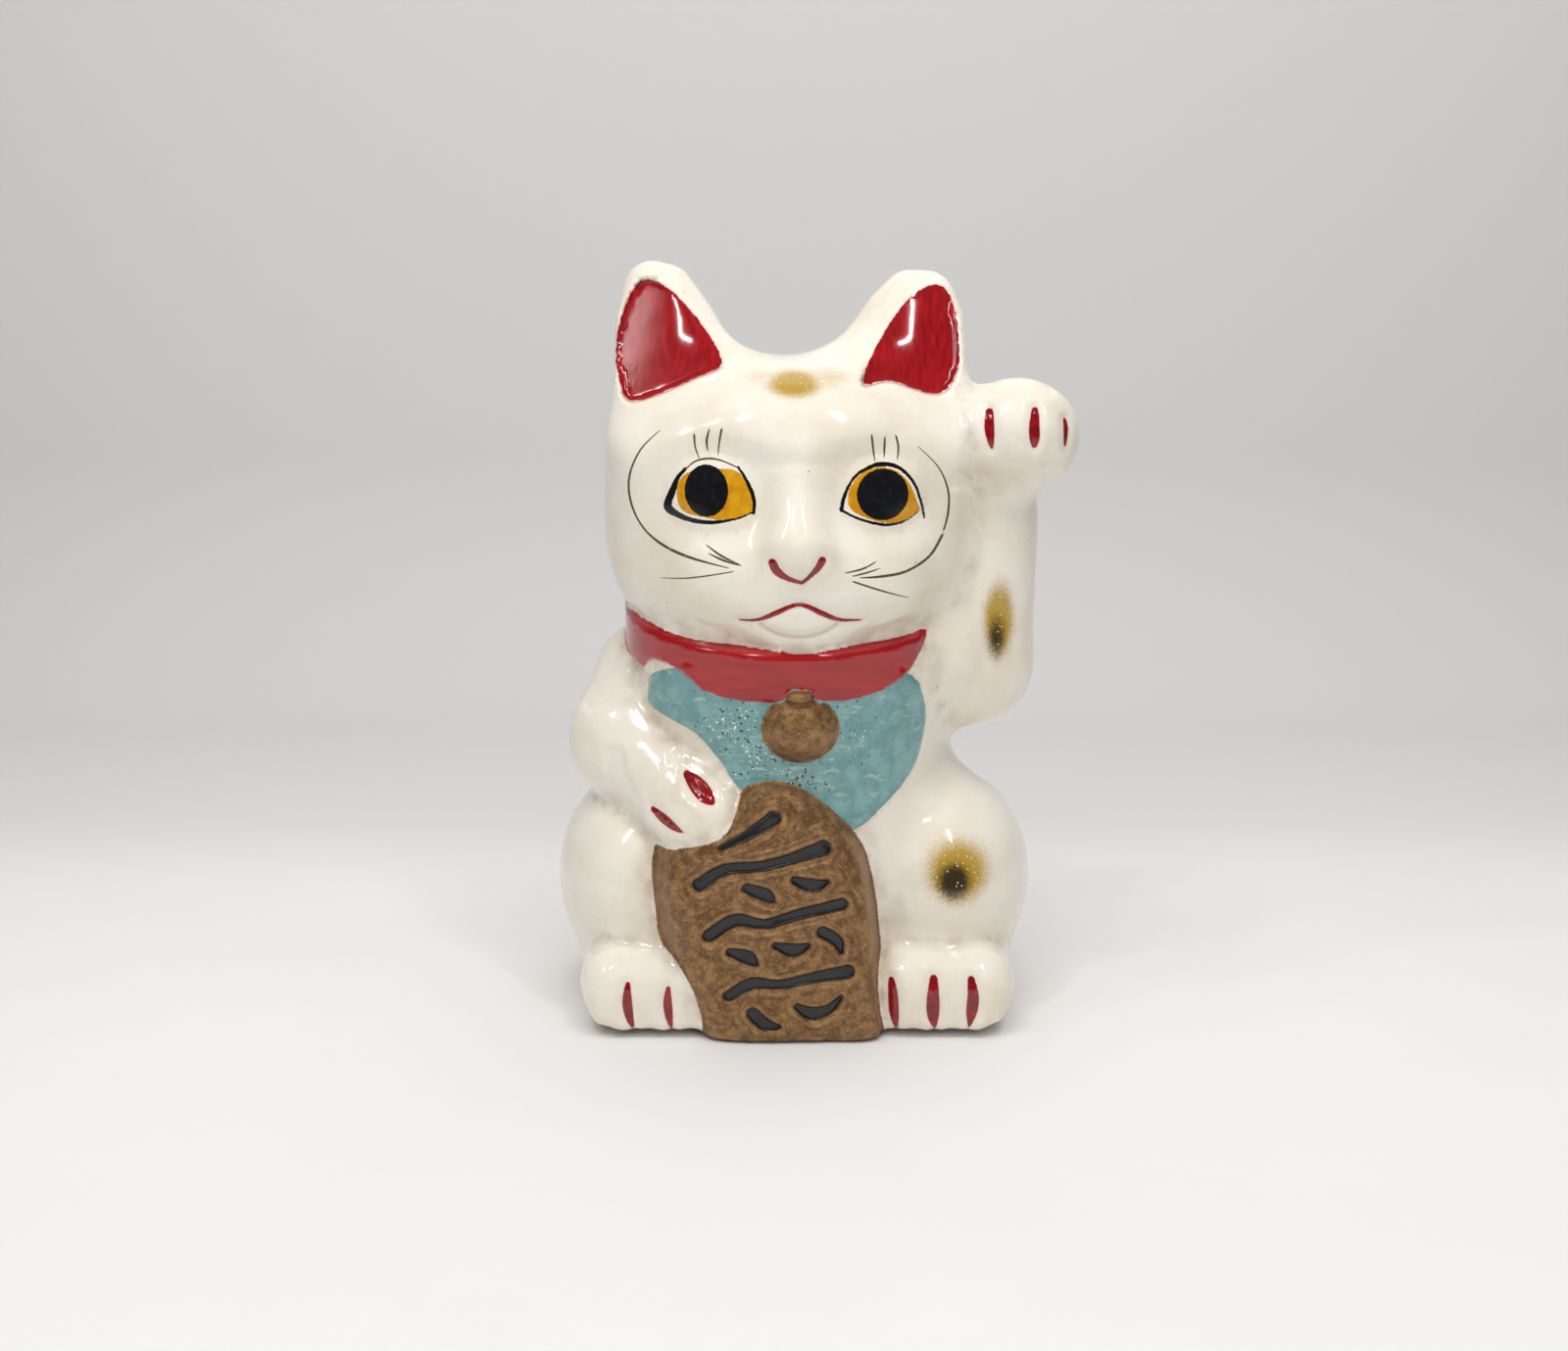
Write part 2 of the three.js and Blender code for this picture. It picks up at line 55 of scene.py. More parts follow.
HEAD = ((-1.8, -7, 160.6), (60.2, 50, 49.2), 2.5)
MUZZLE = ((0.5, -47, 140), (34, 17.5, 17))
CHIN = ((1, -50, 126), (14, 10.5, 7.5))
NOSE = ((0.3, -53, 170), (0.5, -62.5, 152.5), 5, 6.8)
NOSE_TIP = ((0.6, -59.5, 150.6), (8.2, 9.0, 7.4))
SOCKETS = [(-26, 168, 27, 19), (26, 168, 27, 19)]
EYEBALLS = [(-25.5, 168, 16, 12.5), (26, 168, 14.5, 12)]
BROW = (0, 190, 34, 14)
EAR_ROUND = 9.5
EAR_BASE = 200
EAR_CORES = {
    -1: [(-48, 186), (-48.3, 221), (-46.4, 230.6), (-42, 229.4), (-35.5, 220.5), (-25.5, 204), (-25, 188)],
    1: [(44.5, 186), (45, 212), (44.7, 220), (41.9, 227.3), (36.8, 227.6), (31, 222), (19, 205), (19, 188)],
}
EAR_PANELS = {
    -1: [(-55.8, 202), (-57.5, 214), (-52.5, 230), (-46, 233.3), (-35, 225.5), (-23.2, 208), (-31, 202.5),
         (-51, 194.8)],
    1: [(51.5, 210), (50, 226), (44.5, 232), (33, 224.5), (20, 201.5), (29, 201.5), (43, 197.3), (49, 201)],
}
TORSO = ((-1, 2, 60), (54, 48, 70), 2.4)
NECK = ((-1.5, -7.5, 112), (50.5, 47.5, 36), 2.6)
BELLY = ((0, -22, 70), (36, 32, 50))
THIGHS = [((-46, -8, 41), (32.5, 44, 36), 12), ((46, -12, 42), (31, 42, 34), 10)]
FEET = [((-45, -35, 8), (23.5, 27.5, 18)), ((46, -35, 8), (23, 27.5, 18))]
FOOT_ROUND = 12
FOOT_SIDES = (-66.5, 67)
FOOT_RISE = (-52, 0.2)
RUMP = ((-1, 4, 20), (63, 44, 34), 28)
UNDERSIDE = ((0, -18, 2), (58, 34, 10), 8)
TAIL = [((-14, 46, 12), (4, 51, 13), 10, 9.5), ((4, 51, 13), (19, 50.5, 19), 9.5, 9),
        ((19, 50.5, 19), (29, 46, 31), 9, 8)]
COIN_ARM = [((-46.5, 0, 103), (-52.7, -14, 86), 20.8, 19.9),
            ((-52.5, -16, 86), (-27, -45.5, 65.5), 19.4, 16.8)]
RAISED_ARM = [((56.2, -9, 111), (60, -12, 158), 21.2, 18), ((55, -12, 112), (46, -22, 116), 20, 17)]
RAISED_PAW = ((69.6, -22, 184.8), (19.9, 20, 17.9))
PLATE = [(-37.5, 54.5), (-22.5, 63.5), (-13.5, 74.3), (-4, 75.8), (5, 70.5), (14.5, 59.5), (18.5, 45),
         (21.2, 14), (20, -6), (-22, -6), (-28, 9), (-36.8, 34)]
PLATE_FRONT = -67.5
PLATE_LEAN = 0.05
COLLAR_CENTRE = (-1.3, -7.9, 126.7)
COLLAR_RADII = (51, 50)
COLLAR_TILT = math.radians(13.5)
COLLAR_END = (38.5, 120, 0.35)  # the root of the raised arm covers it from here, in front
BELL = ((1, -52, 97), (11.9, 11.5, 10.9))
BELL_LOOP = ((0.9, -60, 107), (4.4, 2.6, 1.8))
SLOT = ((-1.8, 40, 166), (19, 22, 2.5), 0.8)  # the coin slot in the back of the head
ROOM = ((-1.8, 10, 160), (38, 28, 30))  # the hollow behind the slot
WALL = 5
HOLE = (0, 2)
HOLE_RADIUS, HOLE_DEPTH = 16.0, 14.0
RECESS_RADIUS, RECESS_DEPTH = 20.5, 2.5

# Painted and carved lines in the front view: x, z and width at each point
CLAWS = [
    [(29.4, 18.2, 1.8), (29.8, 14.5, 2.9), (30.3, 7.5, 2.9), (31.1, 2.4, 0.5)],
    [(42.4, 18.9, 2.4), (42.2, 13.0, 3.9), (42.3, 7.5, 3.7), (42.9, 2.8, 0.5)],
    [(54.0, 18.7, 2.2), (54.6, 13.5, 3.6), (54.2, 8.5, 3.4), (53.4, 3.2, 0.4)],
    [(-52.2, 17.3, 1.6), (-52.4, 12.0, 3.0), (-51.8, 7.0, 2.6), (-50.3, 2.2, 0.4)],
    [(-39.7, 16.2, 1.4), (-39.9, 11.5, 2.7), (-39.5, 7.0, 2.4), (-38.6, 2.0, 0.4)],
    [(59.4, 192.3, 2.2), (59.2, 188.0, 2.9), (59.6, 184.0, 2.2), (60.0, 181.3, 0.9)],
    [(73.1, 192.6, 2.4), (72.7, 188.0, 3.3), (72.8, 184.5, 3.2), (72.8, 182.2, 1.8)],
    [(82.7, 190.0, 1.0), (83.1, 186.9, 1.7), (82.9, 181.8, 0.9)],
    [(-34.0, 81.4, 2.2), (-31.0, 78.9, 4.6), (-28.0, 76.3, 4.6), (-25.9, 74.4, 1.8)],
    [(-44.6, 70.2, 1.6), (-41.4, 68.3, 3.2), (-38.2, 66.5, 2.6), (-34.6, 64.8, 0.5)],
]
NOSE_LINES = [
    [(-7.3, 148.6, 2.5), (-6.0, 146.2, 2.6), (-3.0, 144.1, 1.7), (1.4, 142.6, 1.1)],
    [(7.4, 149.3, 2.4), (6.0, 147.0, 2.0), (3.7, 144.6, 1.3), (1.4, 142.6, 1.1)],
]
MOUTH = [
    [(-17.3, 130.7, 0.5), (-12.0, 130.9, 1.0), (-6.8, 133.0, 1.5), (-2.4, 135.1, 1.3), (0.4, 135.8, 1.2),
     (3.4, 135.2, 1.4), (7.8, 133.0, 1.6), (13.0, 130.9, 1.2), (19.4, 130.6, 0.5)],
]
LIP = [[(-11.0, 129.6, 1.2), (-5.5, 126.9, 1.4), (1.0, 126.0, 1.4), (7.0, 127.0, 1.4), (12.0, 129.6, 1.2)]]
PHILTRUM = [[(1.3, 141.6, 1.6), (0.6, 136.8, 2.2)]]
FINE_LINES = {  # in three groups, so that no two lines of a group come near each other
    "arcs": [
        [(-42.0, 186.6, 0.25), (-47.7, 181.0, 0.5), (-51.3, 173.1, 0.7), (-51.2, 165.6, 0.75),
         (-47.8, 158.3, 0.6), (-42.0, 153.1, 0.8), (-33.5, 149.5, 0.85), (-20.7, 146.6, 0.3)],
        [(37.0, 181.9, 0.25), (43.2, 175.8, 0.4), (46.5, 168.6, 0.65), (46.6, 161.9, 0.75),
         (45.2, 156.6, 0.6)],
        [(44.6, 154.8, 0.9), (40.6, 148.9, 0.85), (33.1, 145.0, 0.8), (25.5, 143.9, 0.8),
         (19.1, 143.7, 0.35)],
        [(-26.5, 187.1, 0.5), (-27.2, 183.9, 0.75), (-26.9, 181.2, 0.35)],
        [(26.5, 184.8, 0.5), (26.4, 182.1, 0.7), (26.3, 179.3, 0.35)],
    ],
    "lashes": [
        [(-27.1, 152.9, 0.35), (-22.6, 150.0, 0.7), (-16.9, 147.5, 0.3)],
        [(-41.3, 142.2, 0.2), (-32.0, 143.1, 0.45), (-19.3, 145.5, 0.35)],
        [(23.4, 148.1, 0.35), (19.5, 146.3, 0.6), (14.7, 145.3, 0.4)],
        [(16.9, 142.6, 0.5), (24.7, 139.8, 0.6), (33.6, 136.9, 0.25)],
        [(-31.0, 185.5, 0.7), (-30.7, 182.1, 0.5), (-29.6, 179.0, 0.35)],
        [(-22.7, 187.2, 0.7), (-23.4, 183.2, 0.55), (-23.7, 180.1, 0.3)],
        [(22.5, 185.4, 0.6), (22.9, 181.8, 0.65), (23.4, 178.3, 0.35)],
        [(30.0, 185.2, 0.6), (30.7, 182.0, 0.65), (30.4, 178.5, 0.35)],
    ],
    "whiskers": [
        [(-26.2, 150.5, 0.35), (-22.2, 148.8, 0.7), (-17.6, 147.5, 0.4)],
        [(24.5, 146.2, 0.3), (21.0, 145.2, 0.55), (16.9, 144.3, 0.4)],
        [(-33.5, 175.5, 0.4), (-30.5, 177.9, 0.55), (-26.4, 178.7, 0.65), (-23.0, 178.2, 0.5),
         (-20.1, 177.1, 0.45), (-18.0, 176.2, 0.35)],
    ],
}
MARKS = [  # rows of abstract brush strokes on the plate, none of which touch
    [(-23.0, 60.8, 2.0), (-15.0, 64.8, 3.0), (-7.0, 70.2, 4.4)],
    [(-29.8, 49.6, 4.0), (-21.5, 54.4, 3.4), (-12.0, 55.2, 3.2), (-3.5, 57.2, 3.2), (8.0, 61.0, 4.6)],
    [(-15.2, 48.4, 3.0), (-9.8, 46.4, 4.2), (-7.4, 44.4, 1.4)],
    [(-0.6, 51.0, 2.4), (5.0, 49.4, 4.2), (9.2, 50.6, 1.4)],
    [(-26.8, 33.6, 3.8), (-18.8, 38.6, 3.8), (-9.6, 37.4, 3.0), (0.6, 40.4, 3.2), (13.6, 43.6, 3.8)],
    [(-20.4, 28.6, 2.6), (-15.0, 27.0, 4.2), (-12.4, 24.8, 1.2)],
    [(-6.2, 30.6, 2.4), (-0.6, 29.2, 4.2), (3.4, 30.8, 1.4)],
    [(8.0, 34.8, 3.6), (12.4, 32.0, 3.4), (13.6, 28.2, 1.0)],
    [(-20.9, 14.8, 3.2), (-13.4, 18.8, 3.8), (-5.0, 18.4, 3.0), (4.0, 20.4, 3.4), (15.6, 22.4, 4.2)],
    [(-13.6, 9.4, 3.6), (-10.4, 6.2, 4.0), (-5.6, 5.0, 1.6)],
    [(0.2, 11.4, 2.2), (4.8, 9.2, 4.2), (9.8, 10.6, 3.0), (13.6, 14.4, 1.4)],
]
BIB = [(-43.6, 112), (-46.8, 105), (-46.2, 100.6), (-39.1, 97.3), (-31.2, 93.6), (-24, 86), (-17, 76.6),
       (-4, 66), (14, 63.8), (20, 65), (26.6, 70.4), (33.4, 76.8), (38.3, 84.3), (40.7, 96),
       (39.4, 104.6), (35.8, 111.4), (20, 118), (-20, 118)]

# Painted eyes: the openings, the yellow, the black lines round them and the pupils
OPENINGS = [
    [(-38.6, 163.7), (-37.0, 168.5), (-36.1, 171.8), (-34.4, 173.9), (-31.2, 176.6), (-28.2, 178.1),
     (-24.9, 178.4), (-21.6, 177.3), (-18.2, 175.7), (-15.6, 173.1), (-14.0, 170.3), (-13.1, 167.0),
     (-12.9, 163.3), (-16.4, 161.8), (-20.1, 160.9), (-24.5, 160.3), (-28.6, 160.3), (-32.0, 161.0),
     (-35.2, 162.0)],
    [(14.0, 163.6), (14.5, 166.6), (15.4, 169.2), (16.9, 171.8), (18.9, 174.1), (21.9, 175.8), (25.6, 176.7),
     (29.3, 175.9), (32.4, 174.3), (34.7, 171.8), (36.2, 168.8), (37.3, 165.3), (37.7, 162.8), (35.1, 161.0),
     (31.7, 159.6), (27.1, 159.2), (23.0, 159.8), (18.9, 161.0), (15.8, 162.5)],
]
IRISES = [
    [(-32.3, 174.6), (-34.4, 173.3), (-35.9, 171.4), (-36.4, 168.5), (-36.1, 165.9), (-35.2, 163.7),
     (-33.1, 162.3), (-30.1, 161.6), (-26.7, 161.0), (-23.0, 160.5), (-19.3, 160.8), (-15.7, 161.9),
     (-12.8, 163.2), (-12.8, 167.0), (-14.2, 170.6), (-16.6, 173.9), (-19.3, 175.5), (-22.3, 175.7),
     (-27, 176)],
    [(15.4, 165.1), (15.5, 168.8), (16.7, 171.4), (18.5, 173.7), (21.1, 175.4), (25.6, 176.2), (29.3, 175.3),
     (31.8, 173.7), (34.1, 171.0), (35.7, 167.7), (36.9, 164.6), (37.5, 162.9), (35.1, 160.9), (31.7, 159.6),
     (27.1, 159.4), (23.4, 160.2), (20.0, 161.4), (17.1, 162.9)],
]
PUPILS = [(-27.25, 169.15, 6.65, 7.8), (25.85, 168.0, 7.9, 7.7)]
EYE_LINES = [
    [(-33.6, 175.6, 1.0), (-36.0, 172.9, 1.3), (-37.4, 169.5, 2.1), (-38.9, 165.8, 2.4), (-39.0, 163.6, 2.6),
     (-35.8, 161.6, 1.9), (-32.4, 160.4, 1.5), (-28.6, 159.8, 1.4), (-24.5, 159.8, 1.1), (-20.1, 160.5, 0.8),
     (-16.4, 161.5, 0.6), (-13.2, 163.0, 0.5)],
    [(-17.7, 176.2, 0.8), (-16.0, 173.8, 0.9), (-14.5, 171.0, 1.1), (-13.3, 168.1, 1.2), (-12.8, 165.5, 1.1),
     (-13.0, 162.7, 1.1)],
    [(13.3, 163.4, 1.2), (13.9, 166.6, 1.1), (14.8, 169.1, 1.0), (16.3, 172.0, 0.8), (18.3, 174.2, 0.9),
     (20.9, 175.7, 1.0), (23.4, 176.7, 1.3), (25.8, 177.0, 1.4), (28.2, 176.8, 1.3), (30.9, 175.8, 1.1),
     (33.9, 173.3, 1.0), (36.0, 170.2, 0.9), (37.3, 166.8, 0.9), (38.3, 163.4, 0.8), (38.9, 160.4, 0.6)],
    [(13.3, 163.5, 1.0), (15.6, 162.2, 0.7), (19.3, 160.6, 0.8), (23.4, 159.5, 0.9), (27.1, 158.9, 0.9),
     (31.7, 159.5, 0.7), (34.8, 161.0, 0.45), (37.1, 162.9, 0.25)],
]

# Carved folds: x, z and width, then depth
FOLDS = [
    ([[(-45.0, 113.5, 3), (-50.5, 107.8, 5), (-57.0, 103.4, 5), (-66.0, 99.8, 3)]], 1.1),
    ([[(-57.5, 84.0, 4), (-56.0, 76.0, 6), (-50.5, 70.5, 4)]], 0.7),
    ([[(-44.5, 73.6, 4), (-40.0, 78.2, 4), (-37.0, 84.5, 3)]], 0.6),
    ([[(-37.0, 72.6, 2), (-31.0, 68.0, 2.5)]], 0.45),
    ([[(52.0, 198.4, 2), (62.0, 199.2, 2.5), (78.0, 198.6, 1.5)]], 0.45),
    ([[(49.0, 171.4, 3), (60.0, 170.2, 3.5), (80.0, 171.4, 2.5)]], 0.55),
]


def length(*v):
    return np.sqrt(sum(c * c for c in v))


def join(a, b, k):
    """Joins two forms with a fillet of about k."""
    h = np.maximum(k - np.abs(a - b), 0) / k
    return np.minimum(a, b) - h * h * k / 4


def cut(a, b, k):
    return -join(-a, -b, k)


def ease(t):
    t = np.clip(t, 0, 1)
    return t * t * (3 - 2 * t)


def ellipsoid(p, centre, radii, power=2):
    q = [np.abs(v - c) / r + 1e-9 for v, c, r in zip(p, centre, radii)]
    k = (q[0] ** power + q[1] ** power + q[2] ** power) ** (1 / power)
    return (k - 1) / length(*[(v / k) ** (power - 1) / r for v, r in zip(q, radii)])


def limb(p, start, end, first, last):
    along = [e - s for s, e in zip(start, end)]
    off = [v - s for v, s in zip(p, start)]
    t = np.clip(sum(o * a for o, a in zip(off, along)) / sum(a * a for a in along), 0, 1)
    return length(*[o - a * t for o, a in zip(off, along)]) - (first + (last - first) * t)


def round_box(p, centre, half, radius):
    q = [np.abs(v - c) - h + radius for v, c, h in zip(p, centre, half)]
    outside = length(*[np.maximum(v, 0) for v in q])
    return outside + np.minimum(np.maximum.reduce(q), 0) - radius


def spline(points, closed=False, parts=4):
    """A smooth line through points, with whatever else each point carries."""
    p = np.array(points, float)
    n = len(p)
    t = (np.arange(parts) / parts)[:, None]
    rows = []
    for i in range(n if closed else n - 1):
        around = [i - 1, i, i + 1, i + 2]
        a, b, c, d = (p[j % n] for j in around) if closed else (p[min(max(j, 0), n - 1)] for j in around)
        bend, twist = 2 * a - 5 * b + 4 * c - d, 3 * b - a - 3 * c + d
        rows.append((2 * b + (c - a) * t + bend * t ** 2 + twist * t ** 3) / 2)
    if not closed:
        rows.append(p[-1:])
    return np.concatenate(rows)


def outline_distance(x, z, outline):
    """Signed distance in the front view to a closed outline, negative inside."""
    nearest = np.full(x.shape, np.inf)
    inside = np.zeros(x.shape, bool)
    for (ax, az), (bx, bz) in zip(outline, np.roll(outline, 1, axis=0)):
        ex, ez = bx - ax, bz - az
        t = np.clip(((x - ax) * ex + (z - az) * ez) / (ex * ex + ez * ez), 0, 1)
        nearest = np.minimum(nearest, np.hypot(x - ax - ex * t, z - az - ez * t))
        if az != bz:
            inside ^= ((az > z) != (bz > z)) & (x < (bx - ax) * (z - az) / (bz - az) + ax)
    return np.where(inside, -nearest, nearest)


def stroke_distance(x, z, strokes):
    """Distance to the nearest stroke's edge, negative inside, and how far a place is to one side of its
    middle, in half widths."""
    edge = np.full(x.shape, np.inf)
    side = np.zeros(x.shape)
    for stroke in strokes:
        line = spline(stroke)
        for (ax, az, aw), (bx, bz, bw) in zip(line[:-1], line[1:]):
            ex, ez = bx - ax, bz - az
            t = np.clip(((x - ax) * ex + (z - az) * ez) / (ex * ex + ez * ez), 0, 1)
            off = np.hypot(x - ax - ex * t, z - az - ez * t)
            half = (aw + (bw - aw) * t) / 2
            near = off - half < edge
            edge = np.where(near, off - half, edge)
            side = np.where(near, off * np.sign(ex * (z - az) - ez * (x - ax)) / half, side)
    return edge, side


class FrontMap:
    """A function of the front view, worked out once on a grid and read back between its points."""

    def __init__(self, make, low=(-92, -8), high=(100, 248), step=0.5):
        self.low, self.step = low, step
        axes = [np.arange(a, b + step, step) for a, b in zip(low, high)]
        self.values = make(*np.meshgrid(*axes, indexing="ij"))

    def __call__(self, x, z):
        places = []
        for v, low, count in zip((x, z), self.low, self.values.shape):
            u = np.clip((v - low) / self.step, 0, count - 1.001)
            i = u.astype(int)
            places.append((i, u - i))
        (i, u), (j, v) = places
        m = self.values
        near, far = (m[i, k] * (1 - u) + m[i + 1, k] * u for k in (j, j + 1))
        return near * (1 - v) + far * v


random = np.random.default_rng(11)
LATTICE = random.random((32, 32, 32))


def waves(p, size):
    """Smooth noise from -1 to 1 whose bumps are about `size` across."""
    spots = [np.asarray(v) / size + 40 for v in p]
    whole = [np.floor(v).astype(int) for v in spots]
    part = [ease(v - w) for v, w in zip(spots, whole)]
    total = 0
    for corner in itertools.product((0, 1), repeat=3):
        weight = 1
        for c, t in zip(corner, part):
            weight = weight * (t if c else 1 - t)
        total = total + weight * LATTICE[tuple((w + c) % 32 for w, c in zip(whole, corner))]
    return 2 * total - 1


def dome(x, z, cx, cz, rx, rz):
    return np.maximum(1 - ((x - cx) / rx) ** 2 - ((z - cz) / rz) ** 2, 0)


def hill(x, z, *shape):
    return ease(dome(x, z, *shape))


def groove(distance, width):
    """1 in the middle of a groove and 0 from `width` away."""
    return ease(1 - np.abs(distance) / width)


def edges(strokes):
    return lambda x, z: stroke_distance(x, z, strokes)[0]


def within(outlines):
    loops = [spline(outline, closed=True) for outline in outlines]
    return lambda x, z: np.minimum.reduce([outline_distance(x, z, loop) for loop in loops])


maps = {}
for side_, core in EAR_CORES.items():
    maps["ear", side_] = FrontMap(lambda x, z, c=core: outline_distance(x, z, np.array(c, float)))
    maps["panel", side_] = FrontMap(within([EAR_PANELS[side_]]))
maps["plate"] = FrontMap(within([PLATE]), low=(-60, -12), high=(46, 96))
maps["bib"] = FrontMap(within([BIB]))
maps["marks"] = FrontMap(edges(MARKS), low=(-45, -8), high=(30, 82), step=0.25)
maps["claws"] = FrontMap(edges(CLAWS))
maps["nose"] = FrontMap(edges(NOSE_LINES), low=(-12, 138), high=(12, 154), step=0.25)
maps["mouth"] = FrontMap(edges(MOUTH), low=(-24, 124), high=(26, 142), step=0.25)
maps["lip"] = FrontMap(edges(LIP), low=(-24, 118), high=(26, 142), step=0.25)
EYE_AREA = {"low": (-46, 154), "high": (46, 184), "step": 0.2}
maps["opening"] = FrontMap(within(OPENINGS), **EYE_AREA)
maps["iris"] = FrontMap(within(IRISES), **EYE_AREA)
maps["eye_line"] = FrontMap(edges(EYE_LINES), **EYE_AREA)
maps["philtrum"] = FrontMap(edges(PHILTRUM), low=(-12, 130), high=(14, 150), step=0.25)
folds = [(FrontMap(edges(lines)), depth) for lines, depth in FOLDS]


def ear_form(p, side_):
    x, y, z = p
    up = z - EAR_BASE
    a = maps["ear", side_](x, z)
    b = np.abs(y + 3 - 0.12 * up) - np.maximum(24 - 0.42 * up, EAR_ROUND) + EAR_ROUND
    return length(np.maximum(a, 0), np.maximum(b, 0)) + np.minimum(np.maximum(a, b), 0) - EAR_ROUND


def ear_floor(p, side_):
    """Height behind the sloping floor of an ear's red panel."""
    x, y, z = p
    return 0.85 * (y + 25 - 0.5 * (z - EAR_BASE) - 0.34 * (side_ * x - 40))


def head(p):
    x, y, z = p
    f = ellipsoid(p, *HEAD)
    for side_ in EAR_CORES:
        f = join(f, 0.93 * ear_form(p, side_), 12)
    f = join(f, ellipsoid(p, *MUZZLE), 16)
    f = join(f, ellipsoid(p, *CHIN), 8)
    f = join(f, limb(p, *NOSE), 11)
    f = join(f, ellipsoid(p, *NOSE_TIP), 5)
    relief = 2.6 * hill(x, z, *BROW)
    for socket, ball in zip(SOCKETS, EYEBALLS):
        relief = relief - 1.6 * hill(x, z, *socket) + 2.2 * dome(x, z, *ball)
    near = maps["mouth"](x, z)
    relief = relief - 0.45 * groove(near, 1.8) - 0.35 * groove(maps["lip"](x, z), 1.6)
    relief = relief - 0.5 * groove(maps["philtrum"](x, z), 2.2) + 0.9 * hill(x, z, 0.6, 130.4, 13, 5.5)
    relief = relief - 0.3 * groove(maps["nose"](x, z), 1.6)
    f = f - relief * ease((-25 - y) / 15)
    for side_ in EAR_CORES:
        f = cut(f, -cut(maps["panel", side_](x, z), ear_floor(p, side_), 2), 1.5)
    return f


def body_parts(p):
    x, y, z = p
    trunk = join(ellipsoid(p, *TORSO), ellipsoid(p, *NECK), 12)
    for centre, radii, blend in THIGHS:
        trunk = join(trunk, ellipsoid(p, centre, radii), blend)
    trunk = join(trunk, ellipsoid(p, *BELLY), 16)
    rise = FOOT_RISE[1] * (FOOT_RISE[0] - y) - z
    feet = np.minimum(*[cut(round_box(p, *foot, FOOT_ROUND), rise, 3) for foot in FEET])
    return trunk, feet


def body(p, trunk, feet):
    x, y, z = p
    f = join(trunk, feet, 7)
    f = join(f, round_box(p, *RUMP), 18)
    f = join(f, round_box(p, *UNDERSIDE), 5)
    tail = limb(p, *TAIL[0])
    for piece in TAIL[1:]:
        tail = join(tail, limb(p, *piece), 6)
    f = join(f, tail, 6)
    under = 0.75 * (6 - z)
    f = cut(f, 0.8 * (FOOT_SIDES[0] - x + under), 7)
    return cut(f, 0.8 * (x - FOOT_SIDES[1] + under), 7)


def plate(p):
    x, y, z = p
    depth = y - PLATE_FRONT - PLATE_LEAN * z
    sunk = np.clip(depth, 0, 16)
    flat = maps["plate"](x + 0.3 * (sunk - 10) * ease((10 - x) / 25), z) - 4
    f = cut(0.92 * (flat + 2.2 - 0.22 * sunk), -depth, 6)
    edge = maps["marks"](x, z)
    relief = -1.7 * ease(0.5 - edge / 1.3) + 0.7 * groove(edge - 2.3, 1.1) + 0.5 * groove(edge - 4.6, 1.0)
    relief = relief - 0.4 + 0.3 * waves(p, 5) + 0.4 * waves(p, 11)
    f = f - relief * ease((5 - depth) / 4) * ease((-1.5 - flat) / 3)
    return np.maximum(f, depth - 24)


def collar(p):
    x, y, z = p
    up = z - COLLAR_CENTRE[2]
    back = y * math.cos(COLLAR_TILT) + up * math.sin(COLLAR_TILT)
    height = up * math.cos(COLLAR_TILT) - y * math.sin(COLLAR_TILT)
    flat = (x, back, 0 * x)
    ring = ellipsoid(flat, (*COLLAR_CENTRE[:2], 0), (*COLLAR_RADII, 50))
    band = length(np.maximum(np.abs(ring) - 1.6, 0), np.maximum(np.abs(height) - 6, 0)) - 1.8
    end, level, lean = COLLAR_END
    return cut(band, np.minimum(x - end - lean * (z - level), -20 - y), 2)


def components(p):
    """The forms that meet in creases."""
    x, y, z = p
    trunk, feet = body_parts(p)
    arm = join(limb(p, *COIN_ARM[0]), limb(p, *COIN_ARM[1]), 8)
    raised = join(join(limb(p, *RAISED_ARM[0]), limb(p, *RAISED_ARM[1]), 6), ellipsoid(p, *RAISED_PAW), 9)
    bell = join(ellipsoid(p, *BELL), ellipsoid(p, *BELL_LOOP), 1.5)
    return {"trunk": trunk, "feet": feet, "arm": arm, "raised": raised, "head": head(p), "collar": collar(p),
            "bell": bell, "plate": plate(p)}


def paw_relief(p):
    """Toes, claws' grooves and folds, all of them on surfaces that face the viewer."""
    x, y, z = p
    claw = maps["claws"](x, z)
    relief = -0.75 * groove(claw + 0.6, 3.2)
    low = ease((25 - z) / 3) * ease((-40 - y) / 10)
    for middle in (36.0, 48.5, 60.5, -46.0, -33.0, -58.6):
        reach = np.clip((11 - z) / 9, 0, 1)
        relief = relief - 0.8 * low * reach * groove(x - middle, 1 + 4.2 * reach)
    high = ease((z - 168) / 3) * ease((y + 8) / -12)
    for middle in (53.0, 66.0, 78.0):
        reach = np.clip((186 - z) / 9, 0, 1) * ease((z - 169) / 5)
        relief = relief - 0.75 * high * reach * groove(x - middle, 1 + 4.4 * reach)
    for fold, depth in folds:
        relief = relief - depth * groove(np.maximum(fold(x, z), 0), 2.6)
    return relief * ease((-18 - y) / 8)


